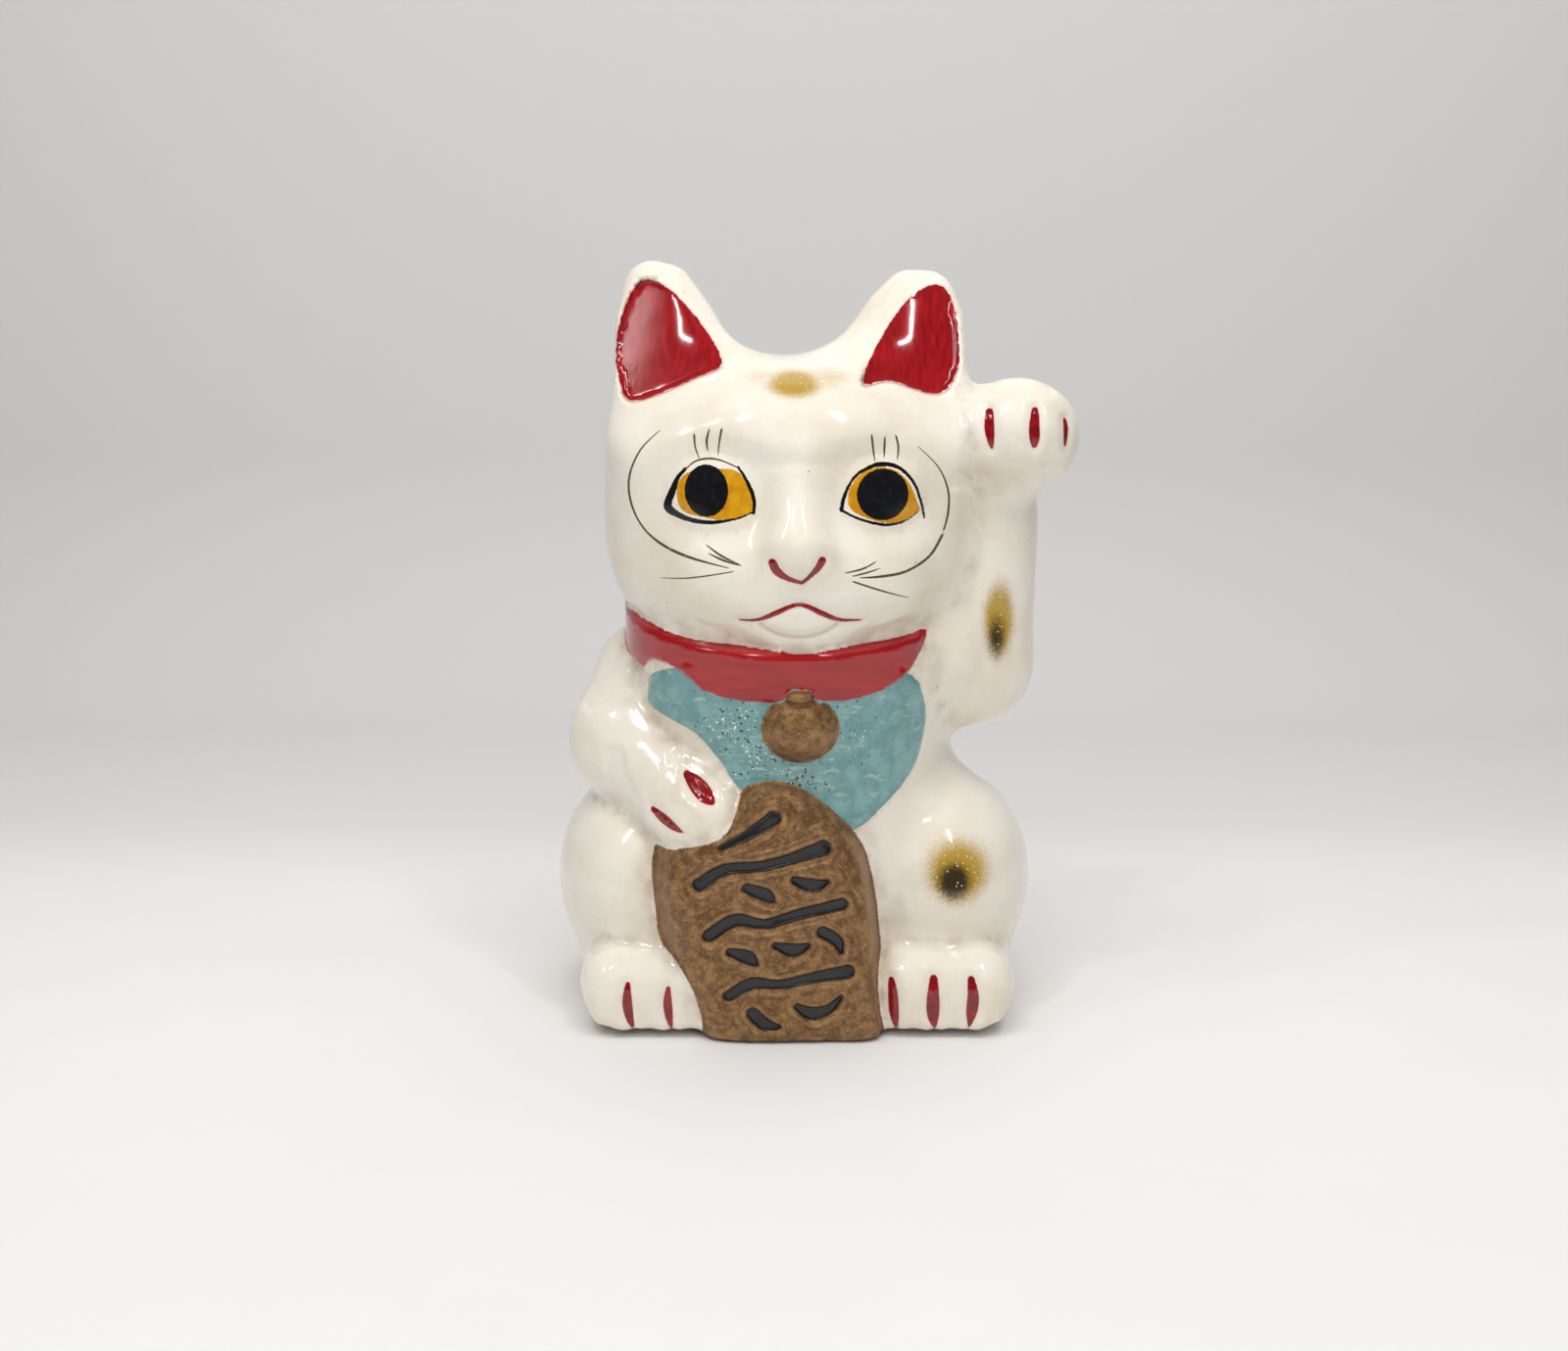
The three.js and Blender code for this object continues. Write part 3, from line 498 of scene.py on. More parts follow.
def figure(p):
    x, y, z = p
    c = components(p)
    f = join(body(p, c["trunk"], c["feet"]), c["arm"], 4)
    bib = ease(0.5 - maps["bib"](x, z) / 1.4) * ease((-25 - y) / 6) * ease(0.5 + (c["arm"] - c["trunk"]) / 3)
    f = f - 0.7 * bib
    f = join(f, c["head"], 5)
    f = join(f, c["raised"], 9)
    f = f - paw_relief(p)
    f = join(f, c["collar"], 1.5)
    f = join(f, c["bell"], 1.5)
    f = join(f, c["plate"], 1.8)
    f = f - 0.22 * waves(p, 24) * ease((z - 6) / 10)
    f = f + BOX_MARGIN * ease((np.abs(y - ORIGIN[1]) - 61) / 4.5)
    f = cut(f, -z, 4)
    room = cut(ellipsoid(p, *ROOM), ellipsoid(p, *HEAD) + WALL, 4)
    f = cut(f, -join(room, round_box(p, *SLOT), 1), 1.2)
    out = np.hypot(x - HOLE[0], y - HOLE[1])
    f = cut(f, -np.maximum(out - HOLE_RADIUS, z - HOLE_DEPTH), 0.8)
    f = cut(f, -np.maximum(out - HOLE_RADIUS - 4, np.abs(z - 10) - 4), 0.8)
    return cut(f, -np.maximum(out - RECESS_RADIUS, z - RECESS_DEPTH), 0.8)


def in_pieces(function, points, size=200000):
    return np.concatenate([function(tuple(points[i:i + size].T)) for i in range(0, len(points), size)])


def sampled(field, low, high, cell, block=4):
    """The field on a grid. It is worked out only near the surface, and elsewhere a coarse value stands in."""
    count = [int(math.ceil((b - a) / cell / block)) * block for a, b in zip(low, high)]
    coarse_axes = [a + cell * block * (np.arange(n // block) + 0.5) for a, n in zip(low, count)]
    coarse = np.stack(np.meshgrid(*coarse_axes, indexing="ij"), -1).reshape(-1, 3)
    coarse = in_pieces(field, coarse).reshape([n // block for n in count])
    values = coarse.repeat(block, 0).repeat(block, 1).repeat(block, 2)
    near = np.argwhere(np.abs(values) < cell * block * 1.35 + 4)
    values[tuple(near.T)] = in_pieces(field, near * cell + np.array(low))
    return values


def surface_net(values, low, cell):
    """One vertex in each grid cell that the surface crosses, and two triangles for each grid edge."""
    inside = values < 0
    shape = np.array(values.shape) - 1
    offsets = itertools.product((0, 1), repeat=3)
    corners = [tuple(slice(c, c + n) for c, n in zip(offset, shape)) for offset in offsets]
    filled = sum(inside[c].astype(np.int8) for c in corners)
    cells = np.argwhere((filled > 0) & (filled < 8))
    number = np.full(shape, -1)
    number[tuple(cells.T)] = np.arange(len(cells))
    total, crossings = np.zeros((len(cells), 3)), np.zeros(len(cells))
    for axis in range(3):
        for u, v in itertools.product((0, 1), repeat=2):
            start = cells.copy()
            start[:, (axis + 1) % 3] += u
            start[:, (axis + 2) % 3] += v
            end = start.copy()
            end[:, axis] += 1
            a, b = values[tuple(start.T)], values[tuple(end.T)]
            crossed = (a < 0) != (b < 0)
            place = start.astype(float)
            place[:, axis] += np.where(crossed, a / np.where(crossed, a - b, 1), 0)
            total += place * crossed[:, None]
            crossings += crossed
    points = total / crossings[:, None] * cell + np.array(low)
    faces = []
    for axis in range(3):
        u, v = (axis + 1) % 3, (axis + 2) % 3
        a = inside
        b = np.roll(inside, -1, axis)
        edge = np.argwhere(a != b)
        edge = edge[(edge[:, axis] < shape[axis]) & (edge[:, u] > 0) & (edge[:, v] > 0)
                    & (edge[:, u] < shape[u]) & (edge[:, v] < shape[v])]
        quad = []
        for du, dv in ((1, 1), (0, 1), (0, 0), (1, 0)):
            at = edge.copy()
            at[:, u] -= du
            at[:, v] -= dv
            quad.append(number[tuple(at.T)])
        quad = np.stack(quad, 1)
        quad[~inside[tuple(edge.T)]] = quad[~inside[tuple(edge.T)]][:, ::-1]
        faces.append(quad)
    quads = np.concatenate(faces)
    across = [np.linalg.norm(points[quads[:, i]] - points[quads[:, i + 2]], axis=1) for i in (0, 1)]
    first = np.where((across[0] > across[1])[:, None], quads[:, [1, 2, 3]], quads[:, [0, 1, 2]])
    second = np.where((across[0] > across[1])[:, None], quads[:, [1, 3, 0]], quads[:, [0, 2, 3]])
    return points, np.concatenate([first, second])


TETRAHEDRON = np.array([(1, -1, -1), (-1, -1, 1), (-1, 1, -1), (1, 1, 1)])


def slope(field, points, reach=0.06):
    """The field and its slope, from four points around each place."""
    values = [in_pieces(field, points + reach * corner) for corner in TETRAHEDRON]
    return np.mean(values, axis=0), sum(v[:, None] * c for v, c in zip(values, TETRAHEDRON)) / (4 * reach)


def settle(field, points, rounds=3):
    for _ in range(rounds):
        value, up = slope(field, points)
        size = np.maximum((up ** 2).sum(1), 0.2)
        points = points - up * (np.clip(value, -1, 1) / size)[:, None]
    return points


def split(points, faces, wanted):
    """Splits each edge that is longer than wanted at its middle."""
    ends = np.sort(faces[:, [[0, 1], [1, 2], [2, 0]]].reshape(-1, 2), axis=1)
    pairs, of_edge = np.unique(ends, axis=0, return_inverse=True)
    of_edge = of_edge.reshape(-1, 3)
    middle = points[pairs].mean(1)
    marked = np.linalg.norm(points[pairs[:, 0]] - points[pairs[:, 1]], axis=1) > wanted(middle)
    name = np.where(marked, len(points) + np.cumsum(marked) - 1, -1)
    points = np.concatenate([points, middle[marked]])
    on = marked[of_edge]
    result = [faces[~on.any(1)]]
    for pattern, corners in (
        ((1, 0, 0), [(0, 3, 2), (3, 1, 2)]),
        ((1, 1, 0), [(3, 1, 4), (0, 3, 2), (3, 4, 2)]),
        ((1, 1, 1), [(0, 3, 5), (3, 1, 4), (5, 4, 2), (3, 4, 5)]),
    ):
        for turn in range(1 if all(pattern) else 3):
            rolled = np.roll(pattern, turn)
            hit = (on == np.array(rolled, bool)).all(1)
            order = [(i + turn) % 3 for i in range(3)]
            six = np.concatenate([faces[hit][:, order], name[of_edge[hit]][:, order]], 1)
            result += [six[:, list(c)] for c in corners]
    return points, np.concatenate(result)


def ellipse(x, z, cx, cz, rx, rz):
    q = np.hypot((x - cx) / rx, (z - cz) / rz)
    return (q - 1) * min(rx, rz)


PAINT_REACH = 0.7  # how far past its own form the paint of the collar, bell and plate goes in a crease


def spot(x, z, strength, cx, cz, width, height):
    """A sprayed spot, strongest in the middle."""
    return strength * np.exp(-((x - cx) / width) ** 2 - ((z - cz) / height) ** 2)


AMBER_SPOTS = [(1.2, 50.2, 50.2, 10.0, 9.8), (1.15, 64.2, 127, 5.2, 12.5), (1.1, -0.8, 200.8, 9.0, 4.4),
               (0.5, 10, 202.5, 8.5, 4.8), (0.4, -11, 202.5, 7.5, 4.8)]
SOOT_SPOTS = [(1.25, 49.0, 47.8, 6.0, 6.4), (0.95, 63.4, 121.5, 3.8, 8.5)]
SPECK_SPOTS = [(0.95, -19, 98, 13, 9), (1.0, -12, 88, 9, 8), (0.9, -1, 80, 12, 8), (0.7, 20, 92, 10, 10)]


def paint(points, normals):
    """Where each colour goes: distances in mm to the edge of each painted area, negative inside."""
    p = tuple(points.T)
    x, y, z = p
    c = components(p)
    areas = {}
    ears = np.minimum(*[maps["panel", s](x, z) for s in EAR_PANELS])
    turned_away = 8 * (normals[:, 1] + 0.2)
    areas["ear"] = np.maximum.reduce([ears, y + 0.5 - 0.12 * (z - EAR_BASE), turned_away])
    for name in ("collar", "bell", "plate"):
        others = np.minimum.reduce([v for k, v in c.items() if k != name])
        areas[name] = np.maximum(c[name] - others, c[name] - PAINT_REACH)
    areas["bib"] = np.maximum(np.maximum(maps["bib"](x, z), y + 24), c["trunk"] - c["arm"] - 1)
    areas["lip"] = np.where(y < -40, maps["lip"](x, z), 9)
    areas["mark"] = np.maximum(maps["marks"](x, z), y + 55)
    red = np.minimum(np.minimum(maps["claws"](x, z), maps["mouth"](x, z)), maps["nose"](x, z))
    areas["red"] = np.where(y < -10, red, 9)
    face = (y < -30) & (z > 125) & (z < 195)
    socket = face & (np.abs(x) < 44) & (z > 156) & (z < 182)
    for name, key in (("eye", "opening"), ("iris", "iris"), ("eye_line", "eye_line")):
        areas[name] = np.where(socket, maps[key](x, z), 9)
    areas["pupil"] = np.where(face, np.minimum(*[ellipse(x, z, *pupil) for pupil in PUPILS]), 9)
    for name, lines in FINE_LINES.items():
        edge, side_ = np.full(len(x), 9.0), np.full(len(x), 9.0)
        edge[face], side_[face] = stroke_distance(x[face], z[face], lines)
        areas[name], areas[name + "_side"] = edge, side_
    # crease: how close the second nearest form is, which sets the grime and the painted shade in creases
    near = np.sort(np.stack(list(c.values())), axis=0)[1]
    areas["crease"] = np.clip(near, 0, 12)
    for name, spots in (("amber", AMBER_SPOTS), ("soot", SOOT_SPOTS), ("specks", SPECK_SPOTS)):
        areas[name] = np.maximum.reduce([spot(x, z, *shape) for shape in spots]) * (y < -10)
    return areas


def wanted_length(points):
    """How short the edges should be at each place."""
    x, y, z = points.T
    size = np.full(len(x), 9.0)
    front = y < -30
    on_plate = (maps["plate"](x, z) < 3) & (y < -50)
    size[on_plate] = 1.15
    size[on_plate & (maps["marks"](x, z) < 1.4)] = 0.75
    size[front & (maps["claws"](x, z) < 2)] = 1.2
    face = np.minimum(maps["mouth"](x, z), np.minimum(maps["nose"](x, z), maps["lip"](x, z)))
    size[front & (face < 1.2) & (z > 122) & (z < 152)] = 0.8
    near_face = front & (z > 134) & (z < 190)
    edge = np.full(len(x), 9.0)
    for lines in FINE_LINES.values():
        edge[near_face] = np.minimum(edge[near_face], stroke_distance(x[near_face], z[near_face], lines)[0])
    size[edge < 0.9] = 0.6
    socket = near_face & (np.abs(x) < 44) & (z > 156) & (z < 182)
    rims = np.minimum(np.abs(maps["iris"](x, z)), np.abs(maps["eye_line"](x, z)))
    rims = np.minimum(rims, np.minimum(*[np.abs(ellipse(x, z, *pupil)) for pupil in PUPILS]))
    size[socket & (rims < 1.2)] = 0.65
    return size


def cat_mesh():
    values = sampled(figure, GRID_LOW, GRID_HIGH, CELL)
    points, faces = surface_net(values, GRID_LOW, CELL)
    points = settle(figure, points)
    for _ in range(3):
        before = len(points)
        points, faces = split(points, faces, wanted_length)
        points[before:] = settle(figure, points[before:])
    flat = np.abs(points[:, 2]) < 0.05
    points[flat, 2] = 0
    return points, faces


def build_cat():
    points, faces = cat_mesh()
    normals = slope(figure, points)[1]
    normals /= np.linalg.norm(normals, axis=1, keepdims=True)
    areas = paint(points, normals)
    mesh = bpy.data.meshes.new("cat")
    places = (points - ORIGIN) * METRE
    mesh.vertices.add(len(points))
    mesh.vertices.foreach_set("co", places.ravel())
    mesh.loops.add(faces.size)
    mesh.loops.foreach_set("vertex_index", faces.ravel())
    mesh.polygons.add(len(faces))
    mesh.polygons.foreach_set("loop_start", np.arange(0, faces.size, 3))
    mesh.polygons.foreach_set("use_smooth", np.ones(len(faces), bool))
    mesh.update(calc_edges=True)
    mesh.validate()
    for name, values in areas.items():
        layer = mesh.attributes.new(name, "FLOAT", "POINT")
        layer.data.foreach_set("value", values.astype(np.float32))
    mesh.normals_split_custom_set_from_vertices(normals.tolist())
    cat = bpy.data.objects.new("cat", mesh)
    bpy.context.collection.objects.link(cat)
    print("cat has", len(faces), "triangles")
    return cat


class Nodes:
    """Short names for the nodes of one material. Every place is in mm."""

    def __init__(self, name):
        self.material = bpy.data.materials.new(name)
        self.material.use_nodes = True
        self.tree = self.material.node_tree
        self.shader = self.tree.nodes["Principled BSDF"]
        here = self.add("ShaderNodeTexCoord").outputs["Object"]
        self.place = self.vector("SCALE", here, scale=1 / METRE)

    def add(self, kind, **settings):
        node = self.tree.nodes.new(kind)
        for key, value in settings.items():
            setattr(node, key, value)
        return node

    def wire(self, value, socket):
        if isinstance(value, bpy.types.NodeSocket):
            self.tree.links.new(value, socket)
        else:
            socket.default_value = value

    def vector(self, operation, a, b=None, scale=None):
        node = self.add("ShaderNodeVectorMath", operation=operation)
        self.wire(a, node.inputs[0])
        if b is not None:
            self.wire(b, node.inputs[1])
        if scale is not None:
            self.wire(scale, node.inputs["Scale"])
        return node.outputs[0]

    def math(self, operation, a, b=0.0, c=0.0):
        node = self.add("ShaderNodeMath", operation=operation)
        for value, socket in zip((a, b, c), node.inputs):
            self.wire(value, socket)
        return node.outputs[0]

    def area(self, name):
        return self.add("ShaderNodeAttribute", attribute_name=name).outputs["Fac"]

    def noise(self, size, detail=3.0, rough=0.55, stretch=None):
        """Noise from 0 to 1 whose bumps are about `size` mm across."""
        place = self.place if stretch is None else self.vector("MULTIPLY", self.place, stretch)
        node = self.add("ShaderNodeTexNoise")
        self.wire(place, node.inputs["Vector"])
        node.inputs["Scale"].default_value = 1 / size
        node.inputs["Detail"].default_value = detail
        node.inputs["Roughness"].default_value = rough
        return node.outputs["Fac"]

    def cells(self, size, feature="F1"):
        node = self.add("ShaderNodeTexVoronoi", feature=feature)
        self.wire(self.place, node.inputs["Vector"])
        node.inputs["Scale"].default_value = 1 / size
        return node

    def ramp(self, value, low, high, start=0.0, end=1.0):
        node = self.add("ShaderNodeMapRange", interpolation_type="SMOOTHSTEP")
        for item, socket in zip((value, low, high, start, end), node.inputs):
            self.wire(item, socket)
        return node.outputs["Result"]

    def inside(self, distance, soft=0.12, wobble=None, amount=0.0):
        """1 inside an area and 0 outside, with an edge that wobbles by `amount` mm."""
        if wobble is not None:
            wobble = self.math("MULTIPLY", self.math("SUBTRACT", wobble, 0.5), amount)
            distance = self.math("ADD", distance, wobble)
        return self.ramp(distance, soft, -soft)

    def mix(self, part, a, b):
        node = self.add("ShaderNodeMix", data_type="RGBA")
        for value, socket in zip((part, a, b), (node.inputs[0], node.inputs[6], node.inputs[7])):
            self.wire(value, socket)
        return node.outputs[2]

    def blend(self, part, a, b):
        node = self.add("ShaderNodeMix", data_type="FLOAT")
        for value, socket in zip((part, a, b), (node.inputs[0], node.inputs[2], node.inputs[3])):
            self.wire(value, socket)
        return node.outputs[0]


def colour(red, green, blue):
    """A colour given as it looks on a screen, from 0 to 255, as the shader's linear numbers."""
    values = [v / 255 for v in (red, green, blue)]
    return (*[v / 12.92 if v <= 0.04045 else ((v + 0.055) / 1.055) ** 2.4 for v in values], 1)


WHITE_GLAZE = colour(246, 239, 226)
CREAM_GLAZE = colour(238, 227, 207)
# brown of the real grime in creases and crackle, also used as painted shade in the creases
DIRT_AND_SHADE = colour(158, 122, 80)
LIP_DIRT = colour(206, 168, 154)
RED = colour(160, 8, 16)
RED_DARK = colour(122, 4, 12)
RED_LIGHT = colour(178, 22, 28)
PINK = colour(240, 180, 172)
BLUE = colour(128, 172, 171)
BLUE_DARK = colour(102, 150, 151)
BLUE_PALE = colour(178, 204, 194)
BRONZE = colour(172, 130, 84)
BRONZE_DARK = colour(116, 82, 50)
# pale flecks of the bronze paint, and also the painted highlight round the plate's strokes
BRONZE_PALE_AND_HIGHLIGHT = colour(200, 160, 110)
# painted shade round the plate's strokes
BRONZE_SHADE = colour(92, 62, 36)
INK = colour(14, 15, 18)
BROWN_INK = colour(88, 70, 38)
YELLOW = colour(228, 166, 16)
YELLOW_DARK = colour(206, 140, 8)
PUPIL = colour(6, 6, 8)
PUPIL_WORN = colour(20, 21, 28)
AMBER = colour(184, 146, 26)
SOOT = colour(40, 32, 20)


def glaze():
    n = Nodes("painted_glaze")
    fine = n.noise(0.55, 2.0)
    middle = n.noise(2.2, 3.0)
    broad = n.noise(26, 3.0)
    plain = n.mix(n.ramp(broad, 0.35, 0.7), WHITE_GLAZE, CREAM_GLAZE)

    # Darkening near the creases between forms: real grime, and also painted shade where the forms meet
    crease = n.area("crease")
    grime_and_shade = n.math("MULTIPLY", n.ramp(crease, 6.5, 0.0), n.ramp(n.noise(7, 4.0), 0.32, 0.75))
    plain = n.mix(n.math("MULTIPLY", grime_and_shade, 0.52), plain, DIRT_AND_SHADE)
    craze = n.ramp(n.cells(7.5, "DISTANCE_TO_EDGE").outputs["Distance"], 0.035, 0.0)
    plain = n.mix(n.math("MULTIPLY", craze, 0.05), plain, DIRT_AND_SHADE)
    dots = n.cells(9)
    dot = n.ramp(dots.outputs["Distance"], 0.036, 0.026)
    rare = n.ramp(n.noise(13, 1.0), 0.54, 0.60)
    plain = n.mix(n.math("MULTIPLY", n.math("MULTIPLY", dot, rare), 0.8), plain, SOOT)

    spray = n.math("MULTIPLY", n.math("SUBTRACT", fine, 0.5), 0.55)
    amber = n.ramp(n.math("ADD", n.area("amber"), spray), 0.18, 0.85)
    plain = n.mix(n.math("MULTIPLY", amber, 0.95), plain, AMBER)
    soot = n.ramp(n.math("ADD", n.area("soot"), spray), 0.25, 1.0)
    plain = n.mix(n.math("MULTIPLY", soot, 0.96), plain, SOOT)
    pits = n.ramp(n.cells(1.7).outputs["Distance"], 0.20, 0.12)
    pits = n.math("MULTIPLY", pits, n.ramp(n.area("amber"), 0.55, 0.8))
    plain = n.mix(n.math("MULTIPLY", pits, 0.75), plain, WHITE_GLAZE)

    # Red paint, with a pink halo where it has run
    red_edge = n.area("red")
    ear_edge = n.area("ear")
    halo = n.math("MINIMUM", red_edge, n.math("MINIMUM", ear_edge, n.math("ADD", n.area("collar"), 0.2)))
    plain = n.mix(n.math("MULTIPLY", n.ramp(halo, 0.75, 0.0), 0.35), plain, PINK)
    plain = n.mix(n.math("MULTIPLY", n.inside(n.area("lip"), 0.3), 0.45), plain, LIP_DIRT)
    streak = n.noise(1.4, 3.0, stretch=(1.0, 0.4, 0.10))
    ear_red = n.mix(n.ramp(streak, 0.3, 0.75), RED_DARK, RED_LIGHT)
    ear_red = n.mix(0.35, ear_red, RED)
    ear_in = n.inside(ear_edge, 0.15, n.noise(1.2, 3.0, stretch=(1.0, 1.0, 0.4)), 1.2)
    plain = n.mix(ear_in, plain, ear_red)
    small_red = n.mix(n.ramp(middle, 0.35, 0.7), RED_DARK, RED)
    plain = n.mix(n.inside(red_edge, 0.10, fine, 0.35), plain, small_red)

    # The bib
    bib_edge = n.area("bib")
    wash = n.noise(5, 4.0, stretch=(1.0, 1.0, 0.8))
    bib = n.mix(n.ramp(wash, 0.35, 0.7), BLUE_DARK, BLUE)
    worn = n.ramp(n.noise(4, 5.0, 0.7, (0.5, 0.5, 1.6)), 0.56, 0.68)
    bib = n.mix(n.math("MULTIPLY", worn, 0.7), bib, BLUE_PALE)
    dense = n.math("MULTIPLY", n.area("specks"), 0.16)
    for size, tone, least in ((1.25, INK, 0.76), (0.95, WHITE_GLAZE, 0.80)):
        specks = n.ramp(n.math("ADD", n.noise(size, 1.0), dense), least, least + 0.03)
        bib = n.mix(specks, bib, tone)
    bib_in = n.inside(bib_edge, 0.15, middle, 0.8)
    plain = n.mix(bib_in, plain, bib)

    # Bronze paint on the plate and the bell
    patch = n.noise(3.2, 5.0, 0.65)
    bronze = n.mix(n.ramp(patch, 0.36, 0.72), BRONZE_DARK, BRONZE)
    bronze = n.mix(n.math("MULTIPLY", n.ramp(n.noise(0.8, 4.0, 0.7), 0.52, 0.72), 0.6), bronze, BRONZE_PALE_AND_HIGHLIGHT)
    mark_edge = n.area("mark")
    mark_in = n.inside(mark_edge, 0.12, middle, 0.5)
    plate_colour = bronze
    # Painted highlight and painted shade in rings round each stroke, so that the plate's relief shows
    uneven = n.ramp(n.noise(6.0, 2.0), 0.35, 0.65)
    for away, tone, share in ((1.2, BRONZE_PALE_AND_HIGHLIGHT, 0.35), (2.4, BRONZE_SHADE, 0.55), (4.7, BRONZE_SHADE, 0.5)):
        off = n.math("ABSOLUTE", n.math("SUBTRACT", mark_edge, away))
        painted_relief_light_and_shade = n.math("MULTIPLY", n.ramp(off, 0.7, 0.0), n.math("MULTIPLY", uneven, share))
        plate_colour = n.mix(painted_relief_light_and_shade, plate_colour, tone)
    plate_colour = n.mix(mark_in, plate_colour, INK)
    plate_in = n.inside(n.area("plate"), 0.2, n.noise(0.9, 3.0), 0.8)
    bell_in = n.inside(n.area("bell"), 0.15, fine, 0.3)
    plain = n.mix(plate_in, plain, plate_colour)

    collar_tone = n.mix(n.ramp(n.noise(6, 3.0, stretch=(0.5, 0.5, 2.0)), 0.3, 0.7), RED, RED_LIGHT)
    collar_in = n.inside(n.area("collar"), 0.15, middle, 0.3)
    plain = n.mix(collar_in, plain, collar_tone)
    plain = n.mix(bell_in, plain, bronze)

    # The eyes
    ragged = n.noise(0.9, 4.0, 0.7)
    plain = n.mix(n.inside(n.area("eye"), 0.1), plain, WHITE_GLAZE)
    iris_in = n.inside(n.area("iris"), 0.1, ragged, 0.9)
    plain = n.mix(iris_in, plain, n.mix(n.ramp(n.noise(3.0, 3.0), 0.35, 0.7), YELLOW_DARK, YELLOW))
    pupil_in = n.inside(n.area("pupil"), 0.1, ragged, 0.9)
    plain = n.mix(pupil_in, plain, n.mix(n.ramp(middle, 0.4, 0.7), PUPIL, PUPIL_WORN))
    plain = n.mix(n.inside(n.area("eye_line"), 0.08, ragged, 0.7), plain, PUPIL)

    # Whiskers, lashes and cheek lines
    for name in FINE_LINES:
        across = n.math("SUBTRACT", n.math("ABSOLUTE", n.area(name + "_side")), 1.0)
        line = n.math("MULTIPLY", n.ramp(across, 0.3, -0.3), n.ramp(n.area(name), 0.5, 0.35))
        line = n.math("MULTIPLY", line, n.ramp(n.noise(0.9, 3.0), 0.2, 0.45, 0.6, 1.0))
        plain = n.mix(line, plain, BROWN_INK)

    metal = n.math("MAXIMUM", n.math("MULTIPLY", plate_in, n.math("SUBTRACT", 1.0, mark_in)), bell_in)
    n.wire(plain, n.shader.inputs["Base Color"])
    n.wire(n.math("MULTIPLY", metal, 0.35), n.shader.inputs["Metallic"])
    dull = n.ramp(patch, 0.2, 0.8, 0.30, 0.5)
    n.wire(n.blend(n.math("MAXIMUM", plate_in, bell_in), n.ramp(broad, 0.2, 0.8, 0.10, 0.17), dull),
           n.shader.inputs["Roughness"])
    n.wire(n.ramp(metal, 0.0, 1.0, 0.5, 0.05), n.shader.inputs["Coat Weight"])
    n.shader.inputs["Coat Roughness"].default_value = 0.04
    n.shader.inputs["Coat IOR"].default_value = 1.5

    ripple = n.math("MULTIPLY", n.noise(1.8, 2.0), 0.02)
    bronze_in = n.math("MAXIMUM", plate_in, bell_in)
    grain = n.math("MULTIPLY", n.noise(0.5, 3.0), n.math("MULTIPLY", bronze_in, 0.12))
    bump = n.add("ShaderNodeBump")
    bump.inputs["Strength"].default_value = 0.6
    bump.inputs["Distance"].default_value = METRE
    n.wire(n.math("ADD", ripple, grain), bump.inputs["Height"])
    n.wire(bump.outputs[0], n.shader.inputs["Normal"])
    return n.material


def rubber():
    n = Nodes("black_rubber")
    dust = n.ramp(n.noise(3.0, 5.0, 0.65), 0.35, 0.8)
    black = n.mix(n.math("MULTIPLY", dust, 0.35), colour(34, 32, 31), colour(96, 90, 84))
    n.wire(black, n.shader.inputs["Base Color"])
    n.wire(n.ramp(dust, 0.0, 1.0, 0.5, 0.8), n.shader.inputs["Roughness"])
    bump = n.add("ShaderNodeBump")
    bump.inputs["Strength"].default_value = 0.4
    bump.inputs["Distance"].default_value = METRE
    n.wire(n.math("MULTIPLY", n.noise(0.4, 3.0), 0.08), bump.inputs["Height"])
    n.wire(bump.outputs[0], n.shader.inputs["Normal"])
    return n.material


cat = build_cat()
cat.data.materials.append(glaze())
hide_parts("cat_body")
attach(cat, "root")
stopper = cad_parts["stopper"]
stopper.data.materials.clear()
stopper.data.materials.append(rubber())

# The set: a pale sweep, soft lights and the camera. The wall stands behind the cameras of all other views.
SWEEP_BACK = 0.62
SWEEP_CURVE = 0.15
SWEEP_REACH = 2.4
PAPER_PAINTED_SHADE = (115, 260)  # mm behind the middle of the figure, where the paper is painted darker: painted shade
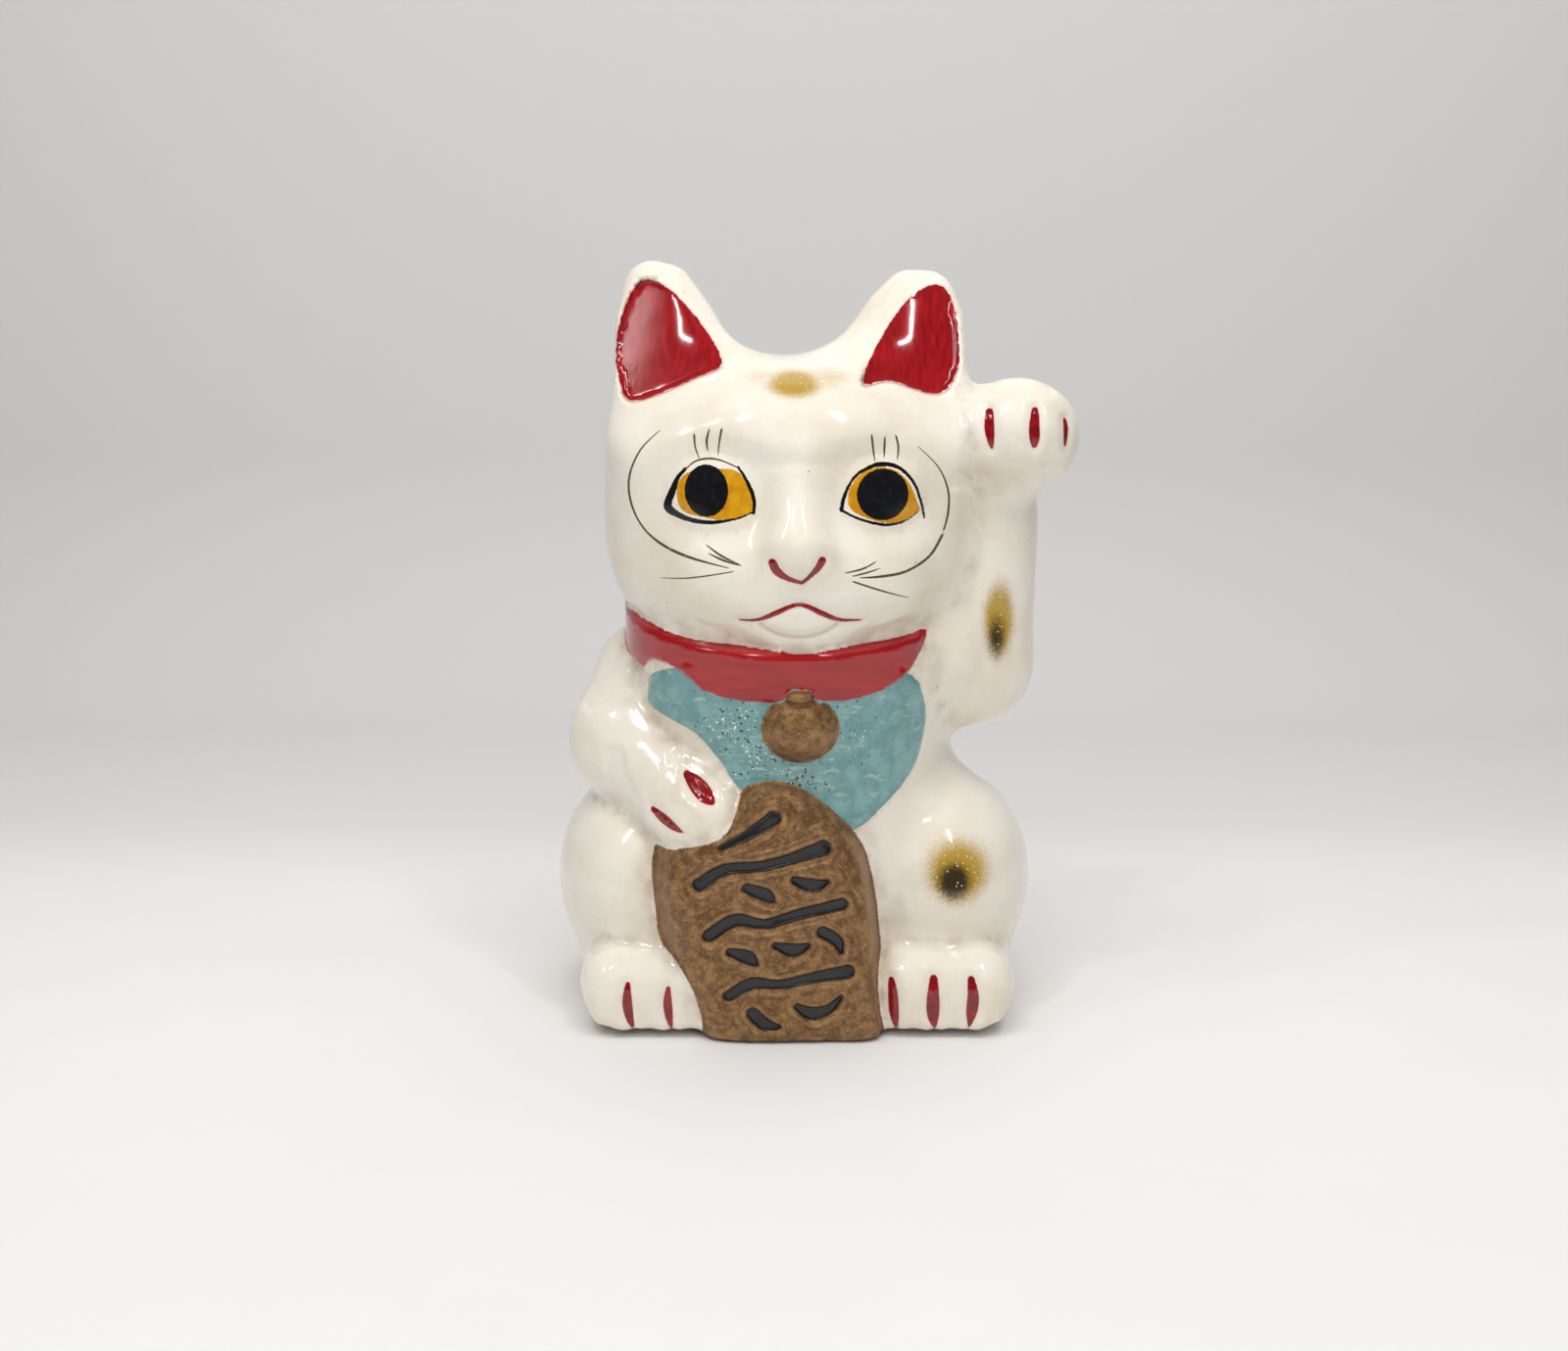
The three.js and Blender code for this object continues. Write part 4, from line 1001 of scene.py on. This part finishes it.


def sweep():
    steps = 24
    profile = [(-SWEEP_REACH, 0.0)]
    for i in range(steps + 1):
        turn = math.pi / 2 * i / steps
        back = SWEEP_BACK - SWEEP_CURVE * (1 - math.sin(turn))
        profile.append((back, SWEEP_CURVE * (1 - math.cos(turn))))
    profile.append((SWEEP_BACK, SWEEP_REACH))
    across = (-SWEEP_REACH, SWEEP_REACH)
    places = [(x, y, z - 0.0002) for y, z in profile for x in across]
    faces = [(2 * i, 2 * i + 1, 2 * i + 3, 2 * i + 2) for i in range(len(profile) - 1)]
    mesh = bpy.data.meshes.new("sweep")
    mesh.from_pydata(places, [], faces)
    for polygon in mesh.polygons:
        polygon.use_smooth = True
    floor = bpy.data.objects.new("sweep", mesh)
    bpy.context.collection.objects.link(floor)
    n = Nodes("sweep_paper")
    here = n.add("ShaderNodeSeparateXYZ")
    n.wire(n.place, here.inputs[0])
    paper = n.mix(n.noise(60, 3.0), colour(232, 231, 229), colour(236, 235, 233))
    # Painted shade: the paper is painted darker towards the back
    paper = n.mix(n.ramp(here.outputs["Y"], *PAPER_PAINTED_SHADE), paper, colour(222, 221, 219))
    n.wire(paper, n.shader.inputs["Base Color"])
    n.shader.inputs["Roughness"].default_value = 0.75
    mesh.materials.append(n.material)


def light(name, place, target, width, height, power):
    data = bpy.data.lights.new(name, "AREA")
    data.shape = "RECTANGLE"
    data.size, data.size_y = width, height
    data.energy = power
    lamp = bpy.data.objects.new(name, data)
    bpy.context.collection.objects.link(lamp)
    aim(lamp, place, target)
    return lamp


def aim(thing, place, target):
    thing.location = place
    thing.rotation_euler = (Vector(target) - Vector(place)).to_track_quat("-Z", "Y").to_euler()


sweep()
for soft in (light("ceiling", (0.05, -0.15, 1.25), (0.0, -0.05, 0), 1.3, 1.1, 9.8),
             light("fill", (0.0, -1.1, 0.95), (0, 0, 0.1), 1.3, 0.8, 7.0)):
    soft.visible_glossy = False  # only the tubes show in the glaze
for side in (-0.72, -0.28, 0.26):
    light("tube", (side, -0.42, 0.95), (0, 0, 0.12), 0.05, 0.22, 0.9)

world = bpy.data.worlds.new("studio")
world.use_nodes = True
world.node_tree.nodes["Background"].inputs["Color"].default_value = (0.93, 0.96, 1.0, 1)
world.node_tree.nodes["Background"].inputs["Strength"].default_value = 0.12
bpy.context.scene.world = world

CAMERA_TARGET = (-0.0039, 0.0, 0.1043)
CAMERA_DISTANCE = 0.65
CAMERA_RISE = math.radians(9)
FOCAL_PIXELS, PHOTO_WIDTH, SENSOR = 1990, 1600, 36
target = Vector(CAMERA_TARGET) - Vector(ORIGIN * METRE)
towards = Vector((0, -math.cos(CAMERA_RISE), math.sin(CAMERA_RISE)))
camera = bpy.data.objects.new("camera", bpy.data.cameras.new("camera"))
bpy.context.collection.objects.link(camera)
aim(camera, target + CAMERA_DISTANCE * towards, target)
camera.data.sensor_width = SENSOR
camera.data.lens = SENSOR * FOCAL_PIXELS / PHOTO_WIDTH
camera.data.clip_start = 0.01
bpy.context.scene.camera = camera
bpy.context.scene.view_settings.view_transform = "Standard"
